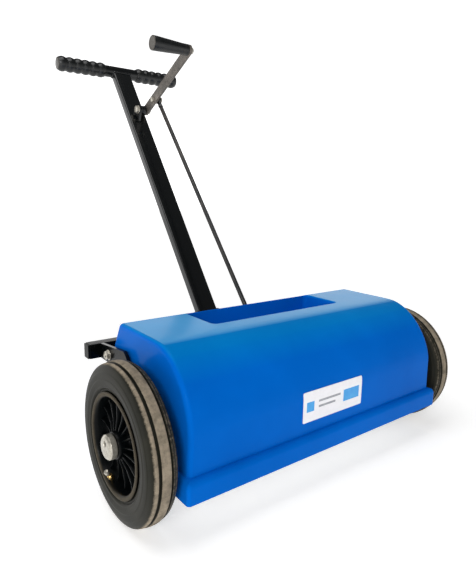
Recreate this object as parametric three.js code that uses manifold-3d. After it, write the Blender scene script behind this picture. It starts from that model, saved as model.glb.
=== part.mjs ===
// Magnetic nail sweeper: a push-along magnet box on two pneumatic wheels, with a T-handle and a
// hand lever that lifts the magnet off its stainless tray so that the collected nails drop.
// Units are millimetres, +Z is up, -Y is the front, +X is the right-hand side seen from the front.
// Everything is laid out with the axle at y = 0 and the floor at z = 0; the finished group is then
// moved along Y so that the origin is the centre of the footprint.
import * as THREE from 'three';
import { mergeVertices } from 'three/addons/utils/BufferGeometryUtils.js';
import Module from 'manifold-3d';

const wasm = await Module();
wasm.setup();

// ---------------------------------------------------------------- driving dimensions
const GAP = 0.3;                 // running gap between touching pieces

const TYRE_RADIUS = 127;         // 10 inch tyre
const TYRE_HALF_WIDTH = 24.4;
const WHEEL_X = 340.5;           // wheel centre plane from the middle of the machine
const AXLE_Z = TYRE_RADIUS;
const AXLE = { radius: 9.9, collar: 14, collarLength: 11, hole: 10.3 };
const CAP_NUT = {
  inner: WHEEL_X + 22.8, outer: WHEEL_X + 36.5, radius: 19.5, bore: 10.4, chamfer: 2, crown: 4,
  keyHole: 4.4, keyHoleUp: 7.5,
};
const RIM_RIBS = { count: 16, inner: 21, outer: 70.5, halfThickness: 1.3, from: -3, to: 10 };
const VALVE = {                  // stem leaning out of the rim bed, near the bottom of the wheel
  around: THREE.MathUtils.degToRad(-70), lean: THREE.MathUtils.degToRad(32), x: 15, base: 73.5,
};

const HOOD_HALF_WIDTH = 294;     // upper body of the hood, at its top
const HOOD_DRAFT = 6.5;          // how much further out each end stands at the foot
const HOOD_FRONT = -114.8;
const HOOD_TOP = 281.4;
const HOOD_REAR_TOP = 129;       // rear wall, just below the top edge
const HOOD_REAR_LOW = 176;
const HOOD_WALL = 3.5;
const HOOD_ROUNDING = { outside: 8, inside: 5 };    // between the ends and the curved profile
const SHOULDER = { y: -15, z: 168, depth: 99.8, height: 113.4, power: 1.7 };
const SKIRT_OUT = 12;            // how far the skirt stands proud of the front and the rear
const SKIRT_HALF_WIDTH = 308;
const SKIRT_CORNER = 6;
const SKIRT_CHAMFER = 6;         // along its upper edge
const SKIRT_BOTTOM = 70.3;
const SKIRT_TOP = 105.5;
const POCKET = { halfWidth: 158, front: 29, rear: 123, floor: 226, corner: 9 };
const LABEL = { halfWidth: 75, bottom: 127, top: 181, thickness: 0.6 };

const PAN_BOTTOM = 71;           // stainless tray under the magnets
const PAN_SHEET = 1.5;
const PAN_TOP = 95;
const PAN_CORNER = 9;
const END_PLATE_X = 282;         // inner face of the chassis end plates
const END_PLATE = 4;

const BAR = { halfLength: 326.5, front: 177, rear: 197, bottom: 206.5, top: 233.5, wall: 2.5 };
const ARM_X = 300.5;             // inner face of the outside arms
const ARM_PLATE = 6;
const BOLT = { thin: 4, thick: 5 };                 // shank radii
const THIN_HOLE = BOLT.thin + GAP;
const THICK_HOLE = BOLT.thick + GAP;
const HOOD_BOLT = { y: 139.7, z: 221.8, hole: 4.6, head: 6.5, nut: 7.5, washer: 9 };

const COLUMN_ANGLE = THREE.MathUtils.degToRad(53.35);   // from horizontal, leaning to the rear
const T_BAR = { y: 735.3, z: 830, radius: 15, halfLength: 171 };
const COLUMN = { width: 50, depth: 20, wall: 2, bottomZ: 186, boltHeights: [198, 222] };
const CHEEK = { thickness: 5, round: 13 };          // plates that hold the column's foot
const GRIP = { inner: 47, outer: 176.5, rings: 5, peak: 19.5, valley: 16.6, bore: 15.3 };

const LEVER_X = 21;              // middle plane of the lever arm
const LEVER_ANGLE = THREE.MathUtils.degToRad(152.63);
const PIVOT = { alongFromTBar: 158.2, standOff: 26.9 };
const LEVER_LENGTH = 244;
const LEVER_ARM = { halfThickness: 3, round: 12.5 };
const ROD_PIN_RADIUS = 50.3;     // pivot to the lift rod's upper pin
const LEVER_GRIP = { length: 93, rootRadius: 12.5, endRadius: 16 };

const ROD_X = 33;
const ROD_ANGLE = THREE.MathUtils.degToRad(50.9);
const ROD_RADIUS = 5;
const ROD_SLOT = { halfWidth: 13, front: 130, rear: 190, bottom: 198, top: 243 };
const ROD_EYE = { radius: 10, halfWidth: 4.5, shank: 5.4, length: 25.3 };
const ROD_FORK = { radius: 10, gap: 4.5, halfWidth: 9, baseFrom: 25, length: 36 };
const CRANK = { z: 150, radius: 47.8, restAngle: THREE.MathUtils.degToRad(170.9) };
const LIFT_ARM = { length: 60, restAngle: THREE.MathUtils.degToRad(210), x: 180 };
const SHAFT_RADIUS = 10;
const SHAFT_HOLE = SHAFT_RADIUS + 0.5;
const ARM_HALF_PLATE = 4;        // half the thickness of the crank and the lift arms

const CARRIER = { halfLength: 255, front: -98, rear: 78, top: 103.8, plate: 6, flange: 4 };
const MAGNET = { count: 4, pitch: 127.1, length: 126.5, bottom: 75.5, height: 22 };
const GUIDE = { x: 270, y: -45, radius: 5, top: 196 };
const STAND = { front: BAR.rear + GAP, size: 25, bottom: 4, footWall: 4, footTop: 24 };

// ---------------------------------------------------------------- materials
const paint = (color, roughness, metalness = 0) =>
  () => new THREE.MeshStandardMaterial({ color, roughness, metalness });
const BLUE_PLASTIC = paint(0x0a66c8, 0.28);
const LABEL_WHITE = paint(0xf2f2f4, 0.4);
const BLACK_PAINT = paint(0x14171a, 0.38, 0.3);
const BLACK_RUBBER = paint(0x17181a, 0.75);
const TYRE_RUBBER = paint(0x33342f, 0.85);
const BLACK_PLASTIC = paint(0x101214, 0.45);
const ZINC = paint(0xc9c9c4, 0.35, 0.9);
const STAINLESS = paint(0xa9adb0, 0.3, 0.95);
const BRASS = paint(0xb08a3e, 0.35, 0.9);
const FERRITE = paint(0x3a3a3d, 0.7, 0.2);

// ---------------------------------------------------------------- shape helpers
const polar = (y, z, radius, angle) =>
  ({ y: y + radius * Math.cos(angle), z: z + radius * Math.sin(angle) });

// Shapes drawn in the (y, z) plane and extruded along +X land in place with this basis.
const SIDE_ON = new THREE.Matrix4().makeBasis(
  new THREE.Vector3(0, 1, 0), new THREE.Vector3(0, 0, 1), new THREE.Vector3(1, 0, 0));

function box(x0, x1, y0, y1, z0, z1) {
  const geometry = new THREE.BoxGeometry(x1 - x0, y1 - y0, z1 - z0);
  return geometry.translate((x0 + x1) / 2, (y0 + y1) / 2, (z0 + z1) / 2);
}

function polygon(points) {
  return new THREE.Shape(points.map(([a, b]) => new THREE.Vector2(a, b)));
}

// Points of a full circle, without the first one repeated at the end.
function circle(a, b, radius, sides) {
  return Array.from({ length: sides }, (_, i) => {
    const angle = (i / sides) * Math.PI * 2;
    return new THREE.Vector2(a + radius * Math.cos(angle), b + radius * Math.sin(angle));
  });
}

function addHole(shape, a, b, radius, sides = 12) {
  shape.holes.push(new THREE.Path(circle(a, b, radius, sides)));
  return shape;
}

function plate(shape, x0, x1, curveSegments = 6) {
  const geometry = new THREE.ExtrudeGeometry(
    shape, { depth: x1 - x0, bevelEnabled: false, curveSegments });
  return geometry.translate(0, 0, x0).applyMatrix4(SIDE_ON);
}

// A flat arm: two round ends joined by tangent lines, centres given in (y, z).
function armShape(a, radiusA, b, radiusB) {
  const angle = Math.atan2(b.z - a.z, b.y - a.y);
  const tilt = Math.acos((radiusA - radiusB) / Math.hypot(b.y - a.y, b.z - a.z));
  const shape = new THREE.Shape();
  shape.absarc(a.y, a.z, radiusA, angle + tilt, angle - tilt + Math.PI * 2, false);
  shape.absarc(b.y, b.z, radiusB, angle - tilt, angle + tilt, false);
  return shape;
}

// A round bar, or a tube when bore is given, along X.
function barX(radius, x0, x1, y, z, sides = 14, bore = 0) {
  const profile = bore > 0
    ? [[bore, x0], [radius, x0], [radius, x1], [bore, x1], [bore, x0]]
    : [[0, x0], [radius, x0], [radius, x1], [0, x1]];
  return turned(profile, sides).translate(0, y, z);
}

// A body of revolution about X from [radius, x] pairs that run towards +X on the outside.
function turned(profile, sides) {
  const points = profile.map(([radius, x]) => new THREE.Vector2(radius, x));
  return new THREE.LatheGeometry(points, sides).rotateZ(-Math.PI / 2);
}

function roundedRectangle(x0, x1, y0, y1, radius) {
  const shape = new THREE.Shape();
  shape.absarc(x1 - radius, y0 + radius, radius, -Math.PI / 2, 0, false);
  shape.absarc(x1 - radius, y1 - radius, radius, 0, Math.PI / 2, false);
  shape.absarc(x0 + radius, y1 - radius, radius, Math.PI / 2, Math.PI, false);
  shape.absarc(x0 + radius, y0 + radius, radius, Math.PI, Math.PI * 1.5, false);
  return shape;
}

function slab(shape, z0, z1, curveSegments = 4) {
  return new THREE.ExtrudeGeometry(
    shape, { depth: z1 - z0, bevelEnabled: false, curveSegments }).translate(0, 0, z0);
}

// ---------------------------------------------------------------- boolean helpers
function solid(geometry) {
  const bare = geometry.index ? geometry.toNonIndexed() : geometry.clone();
  bare.deleteAttribute('normal');
  bare.deleteAttribute('uv');
  const merged = mergeVertices(bare, 1e-3);
  return new wasm.Manifold(new wasm.Mesh({
    numProp: 3,
    vertProperties: new Float32Array(merged.attributes.position.array),
    triVerts: new Uint32Array(merged.index.array),
  }));
}

function fromSolid(manifold) {
  const mesh = manifold.getMesh();
  const geometry = new THREE.BufferGeometry();
  geometry.setAttribute('position', new THREE.BufferAttribute(mesh.vertProperties, 3));
  geometry.setIndex(new THREE.BufferAttribute(mesh.triVerts, 1));
  geometry.computeVertexNormals();
  return geometry;
}

const join = (...parts) => parts.map(solid).reduce((sum, part) => sum.add(part));
const cut = (body, ...tools) => tools.map(solid).reduce((rest, tool) => rest.subtract(tool), body);

// ---------------------------------------------------------------- the scene graph
const sweeper = new THREE.Group();

function add(name, geometry, material, parent = sweeper) {
  const mesh = new THREE.Mesh(geometry, material());
  mesh.name = name;
  parent.add(mesh);
  return mesh;
}

const SIDES = [['left', -1], ['right', 1]];

// Extent along X of something that lies between inner and outer on one side of the machine.
const span = (side, inner, outer) => (side > 0 ? [inner, outer] : [-outer, -inner]);

// ---------------------------------------------------------------- hood
function hoodProfile(inset, bottom) {
  const front = HOOD_FRONT + inset;
  const top = HOOD_TOP - inset;
  const depth = SHOULDER.depth - inset;
  const height = SHOULDER.height - inset;
  const exponent = 2 / SHOULDER.power;
  const steps = 12;
  const points = [[front, bottom]];
  for (let i = 0; i <= steps; i++) {
    const t = (i / steps) * (Math.PI / 2);
    points.push([
      SHOULDER.y - depth * Math.cos(t) ** exponent,
      SHOULDER.z + height * Math.sin(t) ** exponent,
    ]);
  }
  points.push([HOOD_REAR_TOP - 9 - inset * 0.6, top]);
  points.push([HOOD_REAR_TOP - 3 - inset, top - 3.4]);
  points.push([HOOD_REAR_TOP - inset, top - 10]);
  points.push([HOOD_REAR_LOW - 1 - inset, 177]);
  points.push([HOOD_REAR_LOW - inset, 168]);
  points.push([HOOD_REAR_LOW - inset, bottom]);
  return polygon(points.reverse());
}

function hoodBlock(inset, bottom, rounding) {
  const half = HOOD_HALF_WIDTH - inset;
  const geometry = new THREE.ExtrudeGeometry(hoodProfile(inset, bottom), {
    depth: 2 * (half - rounding),
    bevelThickness: rounding,
    bevelSize: rounding,
    bevelOffset: -rounding,
    bevelSegments: 3,
  });
  geometry.translate(0, 0, -(half - rounding)).applyMatrix4(SIDE_ON);
  const corners = geometry.attributes.position;
  const lean = HOOD_DRAFT / HOOD_HALF_WIDTH / (HOOD_TOP - SKIRT_BOTTOM);
  for (let i = 0; i < corners.count; i++) {
    corners.setX(i, corners.getX(i) * (1 + lean * (HOOD_TOP - corners.getZ(i))));
  }
  return geometry;
}

function skirtOutline(inset) {
  const half = SKIRT_HALF_WIDTH - inset;
  return roundedRectangle(-half, half, HOOD_FRONT - SKIRT_OUT + inset,
    HOOD_REAR_LOW + SKIRT_OUT - inset, Math.max(SKIRT_CORNER - inset, 1));
}

function skirtBlock(inset, bottom, top) {
  const upright = slab(skirtOutline(inset), bottom, top - SKIRT_CHAMFER);
  const whole = slab(skirtOutline(inset + SKIRT_CHAMFER), bottom, top);
  return fromSolid(wasm.Manifold.hull([solid(upright), solid(whole)]));
}

function pocketBlock(growth, bottom, top) {
  return slab(roundedRectangle(-POCKET.halfWidth - growth, POCKET.halfWidth + growth,
    POCKET.front - growth, POCKET.rear + growth, POCKET.corner + growth), bottom, top);
}

function hood() {
  const below = SKIRT_BOTTOM - 8;
  const outside = join(
    hoodBlock(0, SKIRT_BOTTOM, HOOD_ROUNDING.outside), skirtBlock(0, SKIRT_BOTTOM, SKIRT_TOP));
  const inside = cut(
    join(hoodBlock(HOOD_WALL, below, HOOD_ROUNDING.inside),
      skirtBlock(HOOD_WALL, below, SKIRT_TOP - HOOD_WALL)),
    pocketBlock(HOOD_WALL, POCKET.floor - HOOD_WALL, HOOD_TOP + 5));
  const shell = outside.subtract(inside);
  const sideHoles = SIDES.flatMap(([, side]) => {
    const [x0, x1] = span(side, END_PLATE_X, ARM_X);
    return [
      barX(AXLE.radius + 2.1, x0, x1, 0, AXLE_Z),
      barX(HOOD_BOLT.hole, x0, x1, HOOD_BOLT.y, HOOD_BOLT.z, 12),
    ];
  });
  const rodSlot = box(ROD_X - ROD_SLOT.halfWidth, ROD_X + ROD_SLOT.halfWidth,
    ROD_SLOT.front, ROD_SLOT.rear, ROD_SLOT.bottom, ROD_SLOT.top);
  return fromSolid(cut(shell, pocketBlock(0, POCKET.floor, HOOD_TOP + 5), rodSlot, ...sideHoles));
}

add('hood', hood(), BLUE_PLASTIC);
add('label_plate', box(-LABEL.halfWidth, LABEL.halfWidth, HOOD_FRONT - GAP - LABEL.thickness,
  HOOD_FRONT - GAP, LABEL.bottom, LABEL.top), LABEL_WHITE);

// ---------------------------------------------------------------- tray and chassis
function tray() {
  const half = SKIRT_HALF_WIDTH - HOOD_WALL - 2;
  const front = HOOD_FRONT - SKIRT_OUT + HOOD_WALL + 1.5;
  const rear = HOOD_REAR_LOW + SKIRT_OUT - HOOD_WALL - 2;
  const outer = slab(roundedRectangle(-half, half, front, rear, PAN_CORNER), PAN_BOTTOM, PAN_TOP);
  const inner = slab(roundedRectangle(-half + PAN_SHEET, half - PAN_SHEET, front + PAN_SHEET,
    rear - PAN_SHEET, PAN_CORNER - PAN_SHEET), PAN_BOTTOM + PAN_SHEET, PAN_TOP + 10);
  return fromSolid(cut(solid(outer), inner));
}

const pivotPoint = (() => {
  const cos = Math.cos(COLUMN_ANGLE);
  const sin = Math.sin(COLUMN_ANGLE);
  return {
    y: T_BAR.y - PIVOT.alongFromTBar * cos - PIVOT.standOff * sin,
    z: T_BAR.z - PIVOT.alongFromTBar * sin + PIVOT.standOff * cos,
  };
})();
const upperPin = polar(pivotPoint.y, pivotPoint.z, ROD_PIN_RADIUS, LEVER_ANGLE);
const crankPin = (() => {
  const z = CRANK.z + CRANK.radius * Math.sin(CRANK.restAngle);
  return { y: upperPin.y - (upperPin.z - z) / Math.tan(ROD_ANGLE), z };
})();
const shaft = { y: crankPin.y - CRANK.radius * Math.cos(CRANK.restAngle), z: CRANK.z };
const columnAt = (z) => ({ y: T_BAR.y - (T_BAR.z - z) / Math.tan(COLUMN_ANGLE), z });

function endPlate(side) {
  const outline = polygon([
    [-96, 73], [165, 73], [165, 165], [150, 214], [146.5, 226], [138, 238], [100, 240], [30, 200],
    [-60, 165], [-96, 120],
  ]);
  addHole(outline, 0, AXLE_Z, AXLE.hole);
  addHole(outline, shaft.y, shaft.z, 12.8, 20);
  addHole(outline, HOOD_BOLT.y, HOOD_BOLT.z, HOOD_BOLT.hole);
  const [x0, x1] = span(side, END_PLATE_X, END_PLATE_X + END_PLATE);
  const [s0, s1] = span(side, END_PLATE_X - 26, END_PLATE_X + 1);
  const shelf = box(s0, s1, GUIDE.y - 12, GUIDE.y + 12, GUIDE.top - 10, GUIDE.top - 4);
  const rodHole = new THREE.CylinderGeometry(GUIDE.radius + GAP, GUIDE.radius + GAP, 20, 16)
    .rotateX(Math.PI / 2).translate(side * GUIDE.x, GUIDE.y, GUIDE.top - 7);
  const neck = box(...span(side, END_PLATE_X, END_PLATE_X + END_PLATE),
    GUIDE.y - 12, GUIDE.y + 12, 150, GUIDE.top - 4);
  return fromSolid(cut(join(plate(outline, x0, x1), neck, shelf), rodHole));
}

function axle(side) {
  const end = CAP_NUT.outer - CAP_NUT.crown - GAP;
  const start = END_PLATE_X - AXLE.collarLength;
  const profile = [
    [0, start], [AXLE.collar, start], [AXLE.collar, END_PLATE_X - GAP],
    [AXLE.radius, END_PLATE_X - GAP], [AXLE.radius, end - 1.5], [AXLE.radius - 1.4, end], [0, end],
  ];
  const geometry = turned(profile, 16);
  return (side > 0 ? geometry : geometry.rotateZ(Math.PI)).translate(0, 0, AXLE_Z);
}

// Round nut that closes the axle's end, with an off-centre hole for its key.
function capNut(side) {
  const { inner, outer, radius, bore, chamfer, crown, keyHole: hole, keyHoleUp } = CAP_NUT;
  const profile = [
    [bore, inner], [radius, inner], [radius, outer - chamfer], [radius - chamfer, outer],
    [0, outer], [0, outer - crown], [bore, outer - crown], [bore, inner],
  ];
  const body = turned(profile, 24);
  if (side < 0) body.rotateZ(Math.PI);
  const keyHole = barX(hole, ...span(side, outer - crown + 1, outer + 1), 0, keyHoleUp, 12);
  return fromSolid(cut(solid(body), keyHole)).translate(0, 0, AXLE_Z);
}

function outsideArm(side) {
  const shape = new THREE.Shape();
  shape.moveTo(BAR.front - GAP, BAR.bottom);
  shape.lineTo(BAR.front - GAP, BAR.top);
  shape.lineTo(80, 244);
  shape.lineTo(72, 238);
  shape.absarc(0, AXLE_Z, 20, Math.PI * 0.86, Math.PI * 1.78, false);
  shape.lineTo(100, 206);
  addHole(shape, 0, AXLE_Z, AXLE.hole);
  addHole(shape, HOOD_BOLT.y, HOOD_BOLT.z, HOOD_BOLT.hole);
  return plate(shape, ...span(side, ARM_X, ARM_X + ARM_PLATE), 10);
}

function hoodBolt(side) {
  const { head } = HOOD_BOLT;
  const end = ARM_X + ARM_PLATE + 9;
  const profile = [
    [0, END_PLATE_X - head], [head, END_PLATE_X - head], [head, END_PLATE_X - GAP],
    [BOLT.thin, END_PLATE_X - GAP], [BOLT.thin, end], [0, end],
  ];
  const geometry = turned(profile, 12);
  return (side > 0 ? geometry : geometry.rotateZ(Math.PI)).translate(0, HOOD_BOLT.y, HOOD_BOLT.z);
}

function hoodNut(side) {
  const washer = barX(HOOD_BOLT.washer, ...span(side, ARM_X + ARM_PLATE + GAP,
    ARM_X + ARM_PLATE + 2), HOOD_BOLT.y, HOOD_BOLT.z, 16, THIN_HOLE);
  const hexagon = addHole(new THREE.Shape(circle(HOOD_BOLT.y, HOOD_BOLT.z, HOOD_BOLT.nut, 6)),
    HOOD_BOLT.y, HOOD_BOLT.z, THIN_HOLE);
  const nut = plate(hexagon, ...span(side, ARM_X + ARM_PLATE + 1.9, ARM_X + ARM_PLATE + 7));
  return fromSolid(join(washer, nut));
}

function crossBar() {
  const shape = polygon([
    [BAR.front, BAR.bottom], [BAR.rear, BAR.bottom], [BAR.rear, BAR.top], [BAR.front, BAR.top],
  ]);
  shape.holes.push(new THREE.Path([
    [BAR.front + BAR.wall, BAR.bottom + BAR.wall], [BAR.front + BAR.wall, BAR.top - BAR.wall],
    [BAR.rear - BAR.wall, BAR.top - BAR.wall], [BAR.rear - BAR.wall, BAR.bottom + BAR.wall],
  ].map(([y, z]) => new THREE.Vector2(y, z))));
  return plate(shape, -BAR.halfLength, BAR.halfLength);
}

function barCap(side) {
  const inset = BAR.wall + GAP;
  const head = box(...span(side, BAR.halfLength + GAP, BAR.halfLength + 3.3),
    BAR.front + 0.5, BAR.rear - 0.5, BAR.bottom + 0.5, BAR.top - 0.5);
  const plug = box(...span(side, BAR.halfLength - 12, BAR.halfLength + 1),
    BAR.front + inset, BAR.rear - inset, BAR.bottom + inset, BAR.top - inset);
  return fromSolid(join(head, plug));
}

add('base_tray', tray(), STAINLESS);
add('rear_cross_bar', crossBar(), BLACK_PAINT);
for (const [label, side] of SIDES) {
  add(`end_plate_${label}`, endPlate(side), BLACK_PAINT);
  add(`side_arm_${label}`, outsideArm(side), BLACK_PAINT);
  add(`cross_bar_cap_${label}`, barCap(side), BLACK_PLASTIC);
  add(`axle_${label}`, axle(side), ZINC);
  add(`axle_nut_${label}`, capNut(side), ZINC);
  add(`hood_bolt_${label}`, hoodBolt(side), ZINC);
  add(`hood_nut_${label}`, hoodNut(side), ZINC);
  add(`shaft_bush_${label}`,
    barX(12.3, ...span(side, END_PLATE_X - 2, END_PLATE_X + END_PLATE), shaft.y, shaft.z, 20, 10.3),
    BRASS);
  add(`guide_rod_${label}`,
    new THREE.CylinderGeometry(GUIDE.radius, GUIDE.radius, GUIDE.top - PAN_BOTTOM - 2, 16)
      .rotateX(Math.PI / 2)
      .translate(side * GUIDE.x, GUIDE.y, (GUIDE.top + PAN_BOTTOM + 2) / 2), STAINLESS);
}

// ---------------------------------------------------------------- wheels
// Profiles are [radius, outward offset from the wheel's centre plane].
function tyreProfile() {
  const tread = TYRE_RADIUS;
  const groove = TYRE_RADIUS - 3;
  const outside = [
    [79, -18.2], [90, -23.2], [102, -TYRE_HALF_WIDTH], [113, -23.2], [120, -20.6],
    [tread - 3.6, -17.6], [tread - 1.4, -11.5], [groove - 0.8, -11], [groove - 0.8, -8.6],
    [tread - 0.5, -8.2], [tread, 0],
  ];
  const mirrored = outside.slice(0, -1).reverse().map(([radius, x]) => [radius, -x]);
  const inside = [[77.4, 18], [77.4, 11], [103, 16.5], [118, 9]];
  const insideBack = [...inside].reverse().map(([radius, x]) => [radius, -x]);
  return [...outside, ...mirrored, ...inside, ...insideBack, outside[0]];
}

function rimProfile() {
  return [
    [13.4, -21], [22, -21], [24, -7], [69, -5], [72.5, -19], [79, -24], [83, -23.4],
    [83, -21.9], [77, -19.8], [76.6, -10], [73.6, -8], [73.6, 8], [76.6, 10], [77, 19.8],
    [83, 21.9], [83, 23.4], [79, 24], [72.5, 19], [69, -1], [24, 4], [21.5, 22.5],
    [13.4, 22.5], [13.4, -21],
  ];
}

function rim() {
  const { count, inner, outer, halfThickness: half, from, to } = RIM_RIBS;
  const ribs = [];
  for (let i = 0; i < count; i++) {
    const angle = ((i + 0.5) / count) * Math.PI * 2;
    const outline = polygon([[inner, -half], [outer, -half], [outer, half], [inner, half]]);
    ribs.push(plate(outline, from, to).rotateX(angle));
  }
  return fromSolid(cut(join(turned(rimProfile(), 28), ...ribs), valveHole()));
}

function alongValve(profile, sides) {
  const points = profile.map(([radius, x]) => new THREE.Vector2(radius, x));
  return new THREE.LatheGeometry(points, sides)
    .rotateX(-Math.PI / 2).rotateY(-VALVE.lean)
    .translate(VALVE.x, 0, VALVE.base)
    .rotateX(VALVE.around - Math.PI / 2);
}

const valve = () => alongValve(
  [[0, 0], [4.2, 0], [4.2, 10], [3, 11], [3, 16], [4, 16], [4, 23], [2.6, 24.5], [0, 24.5]], 10);
const valveHole = () => alongValve([[0, -6], [4.6, -6], [4.6, 8], [0, 8]], 12);

for (const [label, side] of SIDES) {
  const wheel = new THREE.Group();
  wheel.position.set(side * WHEEL_X, 0, AXLE_Z);
  if (side < 0) wheel.scale.x = -1;
  sweeper.add(wheel);
  add(`tyre_${label}`, turned(tyreProfile(), 32), TYRE_RUBBER, wheel);
  add(`rim_${label}`, rim(), BLACK_PLASTIC, wheel);
  add(`hub_bush_${label}`, barX(13.1, -21.3, 22.3, 0, 0, 16, 10.4), BRASS, wheel);
  add(`valve_${label}`, valve(), BRASS, wheel);
}

// ---------------------------------------------------------------- handle
function handleCheek(side) {
  const [lower, upper] = COLUMN.boltHeights.map(columnAt);
  const shape = new THREE.Shape();
  shape.moveTo(BAR.rear + GAP, BAR.bottom + 1.5);
  shape.lineTo(lower.y, lower.z - CHEEK.round);
  shape.absarc(lower.y, lower.z, CHEEK.round, -Math.PI / 2, COLUMN_ANGLE - Math.PI / 2, false);
  shape.absarc(upper.y, upper.z, CHEEK.round, COLUMN_ANGLE - Math.PI / 2, Math.PI / 2, false);
  shape.lineTo(BAR.rear + GAP, BAR.top - 1.5);
  addHole(shape, lower.y, lower.z, THICK_HOLE);
  addHole(shape, upper.y, upper.z, THICK_HOLE);
  const face = COLUMN.width / 2 + GAP;
  return plate(shape, ...span(side, face, face + CHEEK.thickness), 8);
}

function throughBolt(at, x0, x1, shank, head) {
  const profile = [
    [0, x0], [head, x0], [head, x0 + 5], [shank, x0 + 5], [shank, x1 - 6], [head, x1 - 6],
    [head, x1], [0, x1],
  ];
  return turned(profile, 12).translate(0, at.y, at.z);
}

function column() {
  const bottom = columnAt(COLUMN.bottomZ);
  const length = Math.hypot(T_BAR.y - bottom.y, T_BAR.z - bottom.z) - T_BAR.radius - GAP;
  const halfWidth = COLUMN.width / 2;
  const halfDepth = COLUMN.depth / 2;
  const shape = roundedRectangle(-halfWidth, halfWidth, -halfDepth, halfDepth, 3);
  const bore = roundedRectangle(-halfWidth + COLUMN.wall, halfWidth - COLUMN.wall,
    -halfDepth + COLUMN.wall, halfDepth - COLUMN.wall, 1.5);
  shape.holes.push(new THREE.Path(bore.getPoints(2)));
  const tube = slab(shape, 0, length, 2).rotateX(COLUMN_ANGLE - Math.PI / 2)
    .translate(0, bottom.y, bottom.z);
  const holes = COLUMN.boltHeights.map((z) => barX(THICK_HOLE, -40, 40, columnAt(z).y, z, 12));
  return fromSolid(cut(solid(tube), ...holes));
}

function gripProfile(grip) {
  const pitch = (grip.outer - 6 - grip.inner) / grip.rings;
  const points = [[grip.bore, grip.inner], [grip.valley, grip.inner]];
  for (let i = 0; i < grip.rings; i++) {
    const start = grip.inner + i * pitch;
    points.push([grip.valley, start + pitch * 0.14], [grip.peak, start + pitch * 0.34]);
    points.push([grip.peak, start + pitch * 0.78], [grip.valley, start + pitch * 0.98]);
  }
  points.push([grip.peak, grip.outer - 5], [grip.peak - 1.5, grip.outer], [0, grip.outer]);
  points.push([0, grip.outer - 4], [grip.bore, grip.outer - 4], [grip.bore, grip.inner]);
  return points;
}

add('handle_column', column(), BLACK_PAINT);
add('t_bar', barX(T_BAR.radius, -T_BAR.halfLength, T_BAR.halfLength, T_BAR.y, T_BAR.z, 24,
  T_BAR.radius - 2), BLACK_PAINT);
for (const [label, side] of SIDES) {
  const grip = turned(gripProfile(GRIP), 16);
  if (side < 0) grip.rotateZ(Math.PI);
  add(`grip_${label}`, grip.translate(0, T_BAR.y, T_BAR.z), BLACK_RUBBER);
  add(`handle_cheek_${label}`, handleCheek(side), BLACK_PAINT);
}
for (const [i, label] of ['lower', 'upper'].entries()) {
  add(`handle_bolt_${label}`, throughBolt(columnAt(COLUMN.boltHeights[i]), -36, 38,
    BOLT.thick, 8), ZINC);
}

// ---------------------------------------------------------------- stand
function standFoot() {
  const middle = STAND.front + STAND.size / 2;
  const half = STAND.size / 2;
  const reach = half + STAND.footWall;
  const outer = box(-reach, reach, middle - reach, middle + reach, 0, STAND.footTop);
  const socket = box(-half - GAP, half + GAP, middle - half - GAP, middle + half + GAP,
    STAND.bottom - GAP, 30);
  return fromSolid(cut(solid(outer), socket));
}

add('stand_leg', box(-STAND.size / 2, STAND.size / 2, STAND.front, STAND.front + STAND.size,
  STAND.bottom, BAR.top - 2), BLACK_PAINT);
add('stand_foot', standFoot(), BLACK_RUBBER);

// ---------------------------------------------------------------- lever
function leverBracket() {
  const face = COLUMN.depth / 2 + GAP;
  const shape = new THREE.Shape();
  shape.moveTo(-face, -24);
  shape.lineTo(-PIVOT.standOff, -11);
  shape.absarc(-PIVOT.standOff, 0, 11, Math.PI * 1.5, Math.PI * 0.5, true);
  shape.lineTo(-face, 24);
  addHole(shape, -PIVOT.standOff, 0, THICK_HOLE);
  const foot = columnAt(T_BAR.z - PIVOT.alongFromTBar * Math.sin(COLUMN_ANGLE));
  return plate(shape, -2, 4, 8).rotateX(COLUMN_ANGLE - Math.PI / 2).translate(0, foot.y, foot.z);
}

const gripEnd = polar(pivotPoint.y, pivotPoint.z, LEVER_LENGTH, LEVER_ANGLE);
const armHalf = LEVER_ARM.halfThickness;

function leverArm() {
  const shape = armShape(pivotPoint, LEVER_ARM.round, gripEnd, LEVER_ARM.round);
  addHole(shape, pivotPoint.y, pivotPoint.z, THICK_HOLE);
  addHole(shape, upperPin.y, upperPin.z, THIN_HOLE);
  addHole(shape, gripEnd.y, gripEnd.z, THIN_HOLE);
  return plate(shape, LEVER_X - armHalf, LEVER_X + armHalf, 8);
}

function leverGrip() {
  const root = LEVER_X - armHalf - GAP;
  const end = root - LEVER_GRIP.length;
  const { rootRadius, endRadius } = LEVER_GRIP;
  const profile = [
    [0, end], [endRadius - 2, end], [endRadius, end + 3], [endRadius - 0.5, end + 22],
    [rootRadius + 0.6, root - 8], [rootRadius, root], [THIN_HOLE + 0.1, root],
    [THIN_HOLE + 0.1, end + 24],
    [0, end + 24],
  ];
  return turned(profile, 18).translate(0, gripEnd.y, gripEnd.z);
}

function gripBolt() {
  const root = LEVER_X - armHalf - LEVER_GRIP.length;
  const face = LEVER_X + armHalf + GAP;
  const profile = [
    [0, root + 30], [BOLT.thin, root + 30], [BOLT.thin, face], [6.8, face], [6.8, face + 7],
    [BOLT.thin, face + 7], [BOLT.thin, face + 9.5], [0, face + 9.5],
  ];
  return turned(profile, 12).translate(0, gripEnd.y, gripEnd.z);
}

function pivotBolt() {
  const face = LEVER_X + armHalf + GAP;
  const profile = [
    [0, -10], [9, -9], [9, -2 - GAP], [BOLT.thick, -2 - GAP], [BOLT.thick, face], [9, face],
    [9, face + 7], [BOLT.thick, face + 7], [BOLT.thick, face + 9], [0, face + 9],
  ];
  return turned(profile, 12).translate(0, pivotPoint.y, pivotPoint.z);
}

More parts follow.
